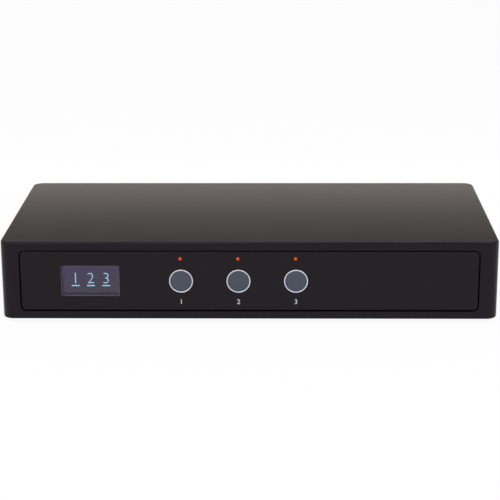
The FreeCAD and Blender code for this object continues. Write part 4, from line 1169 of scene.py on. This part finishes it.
class SELECTOR_OT_boards(bpy.types.Operator):
    """Give the boards and the parts on them their finishes"""

    bl_idname = "selector.boards"
    bl_label = "Boards"

    def execute(self, context):
        tints = context.scene.selector_colours
        keep(circuit_board(tints.mask), "main_board", "front_board", "radio_module")
        black = tints.black_part
        glossy = moulded_plastic("part_gloss_black", black, grain=0.5 * MM, roughness=0.25)
        dull = moulded_plastic("part_dull_black", black, grain=0.3 * MM, roughness=0.5)
        chip = moulded_plastic("lamp_chip", tints.cream, grain=0.2 * MM)
        keep(dull, "link_header", "relay_driver")
        for part, finish in (("relay", glossy), ("switch", dull), ("plunger", dull), ("led", chip)):
            keep(finish, *("zone_%d_%s" % (zone, part) for zone in ZONES))
        keep(plated_metal("link_brass", tints.brass), "link_pins")
        keep(plated_metal("can_tin", tints.steel, roughness=0.3), "radio_shield")
        keep(moulded_plastic("cable_socket_cream", tints.cream, grain=0.4 * MM),
             "display_connector")
        keep(flat_cable(tints.flex, middle("display_flex"), pitch=0.6 * MM), "display_flex")
        keep(capacitor_sleeve(tints.sleeve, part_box("supply_capacitors")[1].z),
             "supply_capacitors")
        return {"FINISHED"}


# ---- Stage ----

class SELECTOR_OT_stage(bpy.types.Operator):
    """Set up the camera, the floor and the light"""

    bl_idname = "selector.stage"
    bl_label = "Stage"

    def execute(self, context):
        stage = context.scene.selector_stage
        self.make_camera(context.scene, stage)
        self.make_floor(stage)
        self.make_room(context.scene, stage)
        self.make_lamp("key_lamp", stage.key_light)
        self.make_lamp("fill_lamp", stage.fill_light)
        self.make_lamp("back_lamp", stage.back_light).color = stage.back_tint
        context.scene.view_settings.view_transform = "Standard"
        return {"FINISHED"}

    def make_camera(self, scene, stage):
        data = bpy.data.cameras.new("camera")
        data.lens = stage.camera_lens
        data.sensor_width = 36
        camera = new_piece("camera", data)
        heading = Matrix.Rotation(stage.camera_heading, 4, "Z")
        tilt = Matrix.Rotation(QUARTER - stage.camera_tilt, 4, "X")
        roll = Matrix.Rotation(stage.camera_roll, 4, "Z")
        camera.matrix_world = Matrix.Translation(stage.camera_place) @ heading @ tilt @ roll
        scene.camera = camera

    def make_floor(self, stage):
        half = stage.floor_width / 2
        mesh = bpy.data.meshes.new("floor")
        mesh.from_pydata([(-half, -half, 0), (half, -half, 0), (half, half, 0), (-half, half, 0)],
                         [], [(0, 1, 2, 3)])
        mesh.transform(Matrix.Translation(-UP * WELD))
        floor = new_piece("floor", mesh)
        material, finish = start_finish("floor_paper")
        level = stage.floor_level
        matt = finish.node("ShaderNodeBsdfDiffuse", {}, {"Color": (level, level, level)})
        white = finish.node("ShaderNodeEmission", {}, {"Color": (1, 1, 1), "Strength": 1.0})
        camera, mirrored, through = finish.rays()
        seen = finish.arithmetic("MINIMUM", camera + mirrored + through, 1.0)
        blend = finish.node("ShaderNodeMixShader", {}, {
            0: seen * stage.paper_share, 1: matt.outputs[0], 2: white.outputs[0]})
        clear = finish.node("ShaderNodeBsdfTransparent")
        back = finish.node("ShaderNodeNewGeometry").outputs["Backfacing"]
        sheet = finish.node("ShaderNodeMixShader", {}, {
            0: back, 1: blend.outputs[0], 2: clear.outputs[0]})
        finish.node("ShaderNodeOutputMaterial", {}, {"Surface": sheet.outputs[0]})
        paint(floor, material)

    def make_room(self, scene, stage):
        """Even light all round, with a white backdrop above the horizon, higher at the sides."""
        scene.world = bpy.data.worlds.new("room")
        scene.world.use_nodes = True
        finish = Finish(scene.world.node_tree)
        direction = finish.node("ShaderNodeTexCoord").outputs["Generated"]
        across, _, up = finish.split(direction)
        # The backdrop fades out by twice its height, and towards the sides, where a direction
        # leans 0.25 to 0.5 across, it grows to its side height.
        lowering = finish.ramp(abs(across), (0.25, 1.0), (0.5, 1 / stage.side_height))
        height = up * lowering * (0.5 / stage.horizon_height)
        backdrop = finish.ramp(height, (0.35, 1.0), (1.0, 0.0))
        camera, mirrored, through = finish.rays()
        ceiling = lighter(stage.horizon_tint, stage.ceiling_level)
        reflected = finish.mix(backdrop, ceiling, stage.horizon_tint)
        lit = finish.mix(mirrored + through, (stage.room_level,) * 3, reflected)
        shown = finish.mix(camera, lit, (1, 1, 1))
        sky = finish.node("ShaderNodeBackground", {}, {"Color": shown, "Strength": 1.0})
        finish.node("ShaderNodeOutputWorld", {}, {"Surface": sky.outputs[0]})

    def make_lamp(self, name, brightness):
        """A soft rectangular lamp, given by how bright its face is."""
        place, target, width, height = LAMPS[name]
        data = bpy.data.lights.new(name, "AREA")
        data.shape = "RECTANGLE"
        data.size = width
        data.size_y = height
        data.energy = brightness * math.pi * width * height
        lamp = new_piece(name, data)
        aim = (Vector(target) - Vector(place)).to_track_quat("-Z", "Y")
        lamp.matrix_world = Matrix.Translation(place) @ aim.to_matrix().to_4x4()
        lamp.visible_camera = False
        return data


class SELECTOR_PT_sidebar(bpy.types.Panel):
    """Buttons and settings of the speaker selector switch"""

    bl_idname = "SELECTOR_PT_sidebar"
    bl_label = "Speaker Selector Switch"
    bl_space_type = "VIEW_3D"
    bl_region_type = "UI"
    bl_category = "Selector"

    def draw(self, context):
        for operator in OPERATORS:
            self.layout.operator(operator.bl_idname)
        for name in SETTINGS:
            group = getattr(context.scene, name)
            box = self.layout.box()
            for field in group.__annotations__:
                box.prop(group, field)


OPERATORS = (
    SELECTOR_OT_stage, SELECTOR_OT_case, SELECTOR_OT_panels, SELECTOR_OT_keys, SELECTOR_OT_lamps,
    SELECTOR_OT_display, SELECTOR_OT_numerals, SELECTOR_OT_terminals, SELECTOR_OT_connectors,
    SELECTOR_OT_screws, SELECTOR_OT_feet, SELECTOR_OT_boards,
)
SETTINGS = {
    "selector_sizes": SelectorSizes,
    "selector_colours": SelectorColours,
    "selector_stage": SelectorStage,
}


def register():
    for group in (*SETTINGS.values(), *OPERATORS, SELECTOR_PT_sidebar):
        bpy.utils.register_class(group)
    for name, group in SETTINGS.items():
        setattr(bpy.types.Scene, name, PointerProperty(type=group))


def unregister():
    for name in SETTINGS:
        delattr(bpy.types.Scene, name)
    for group in (SELECTOR_PT_sidebar, *reversed(OPERATORS), *SETTINGS.values()):
        bpy.utils.unregister_class(group)


def main():
    register()
    for operator in OPERATORS:
        family, name = operator.bl_idname.split(".")
        getattr(getattr(bpy.ops, family), name)()


if __name__ == "__main__":
    main()
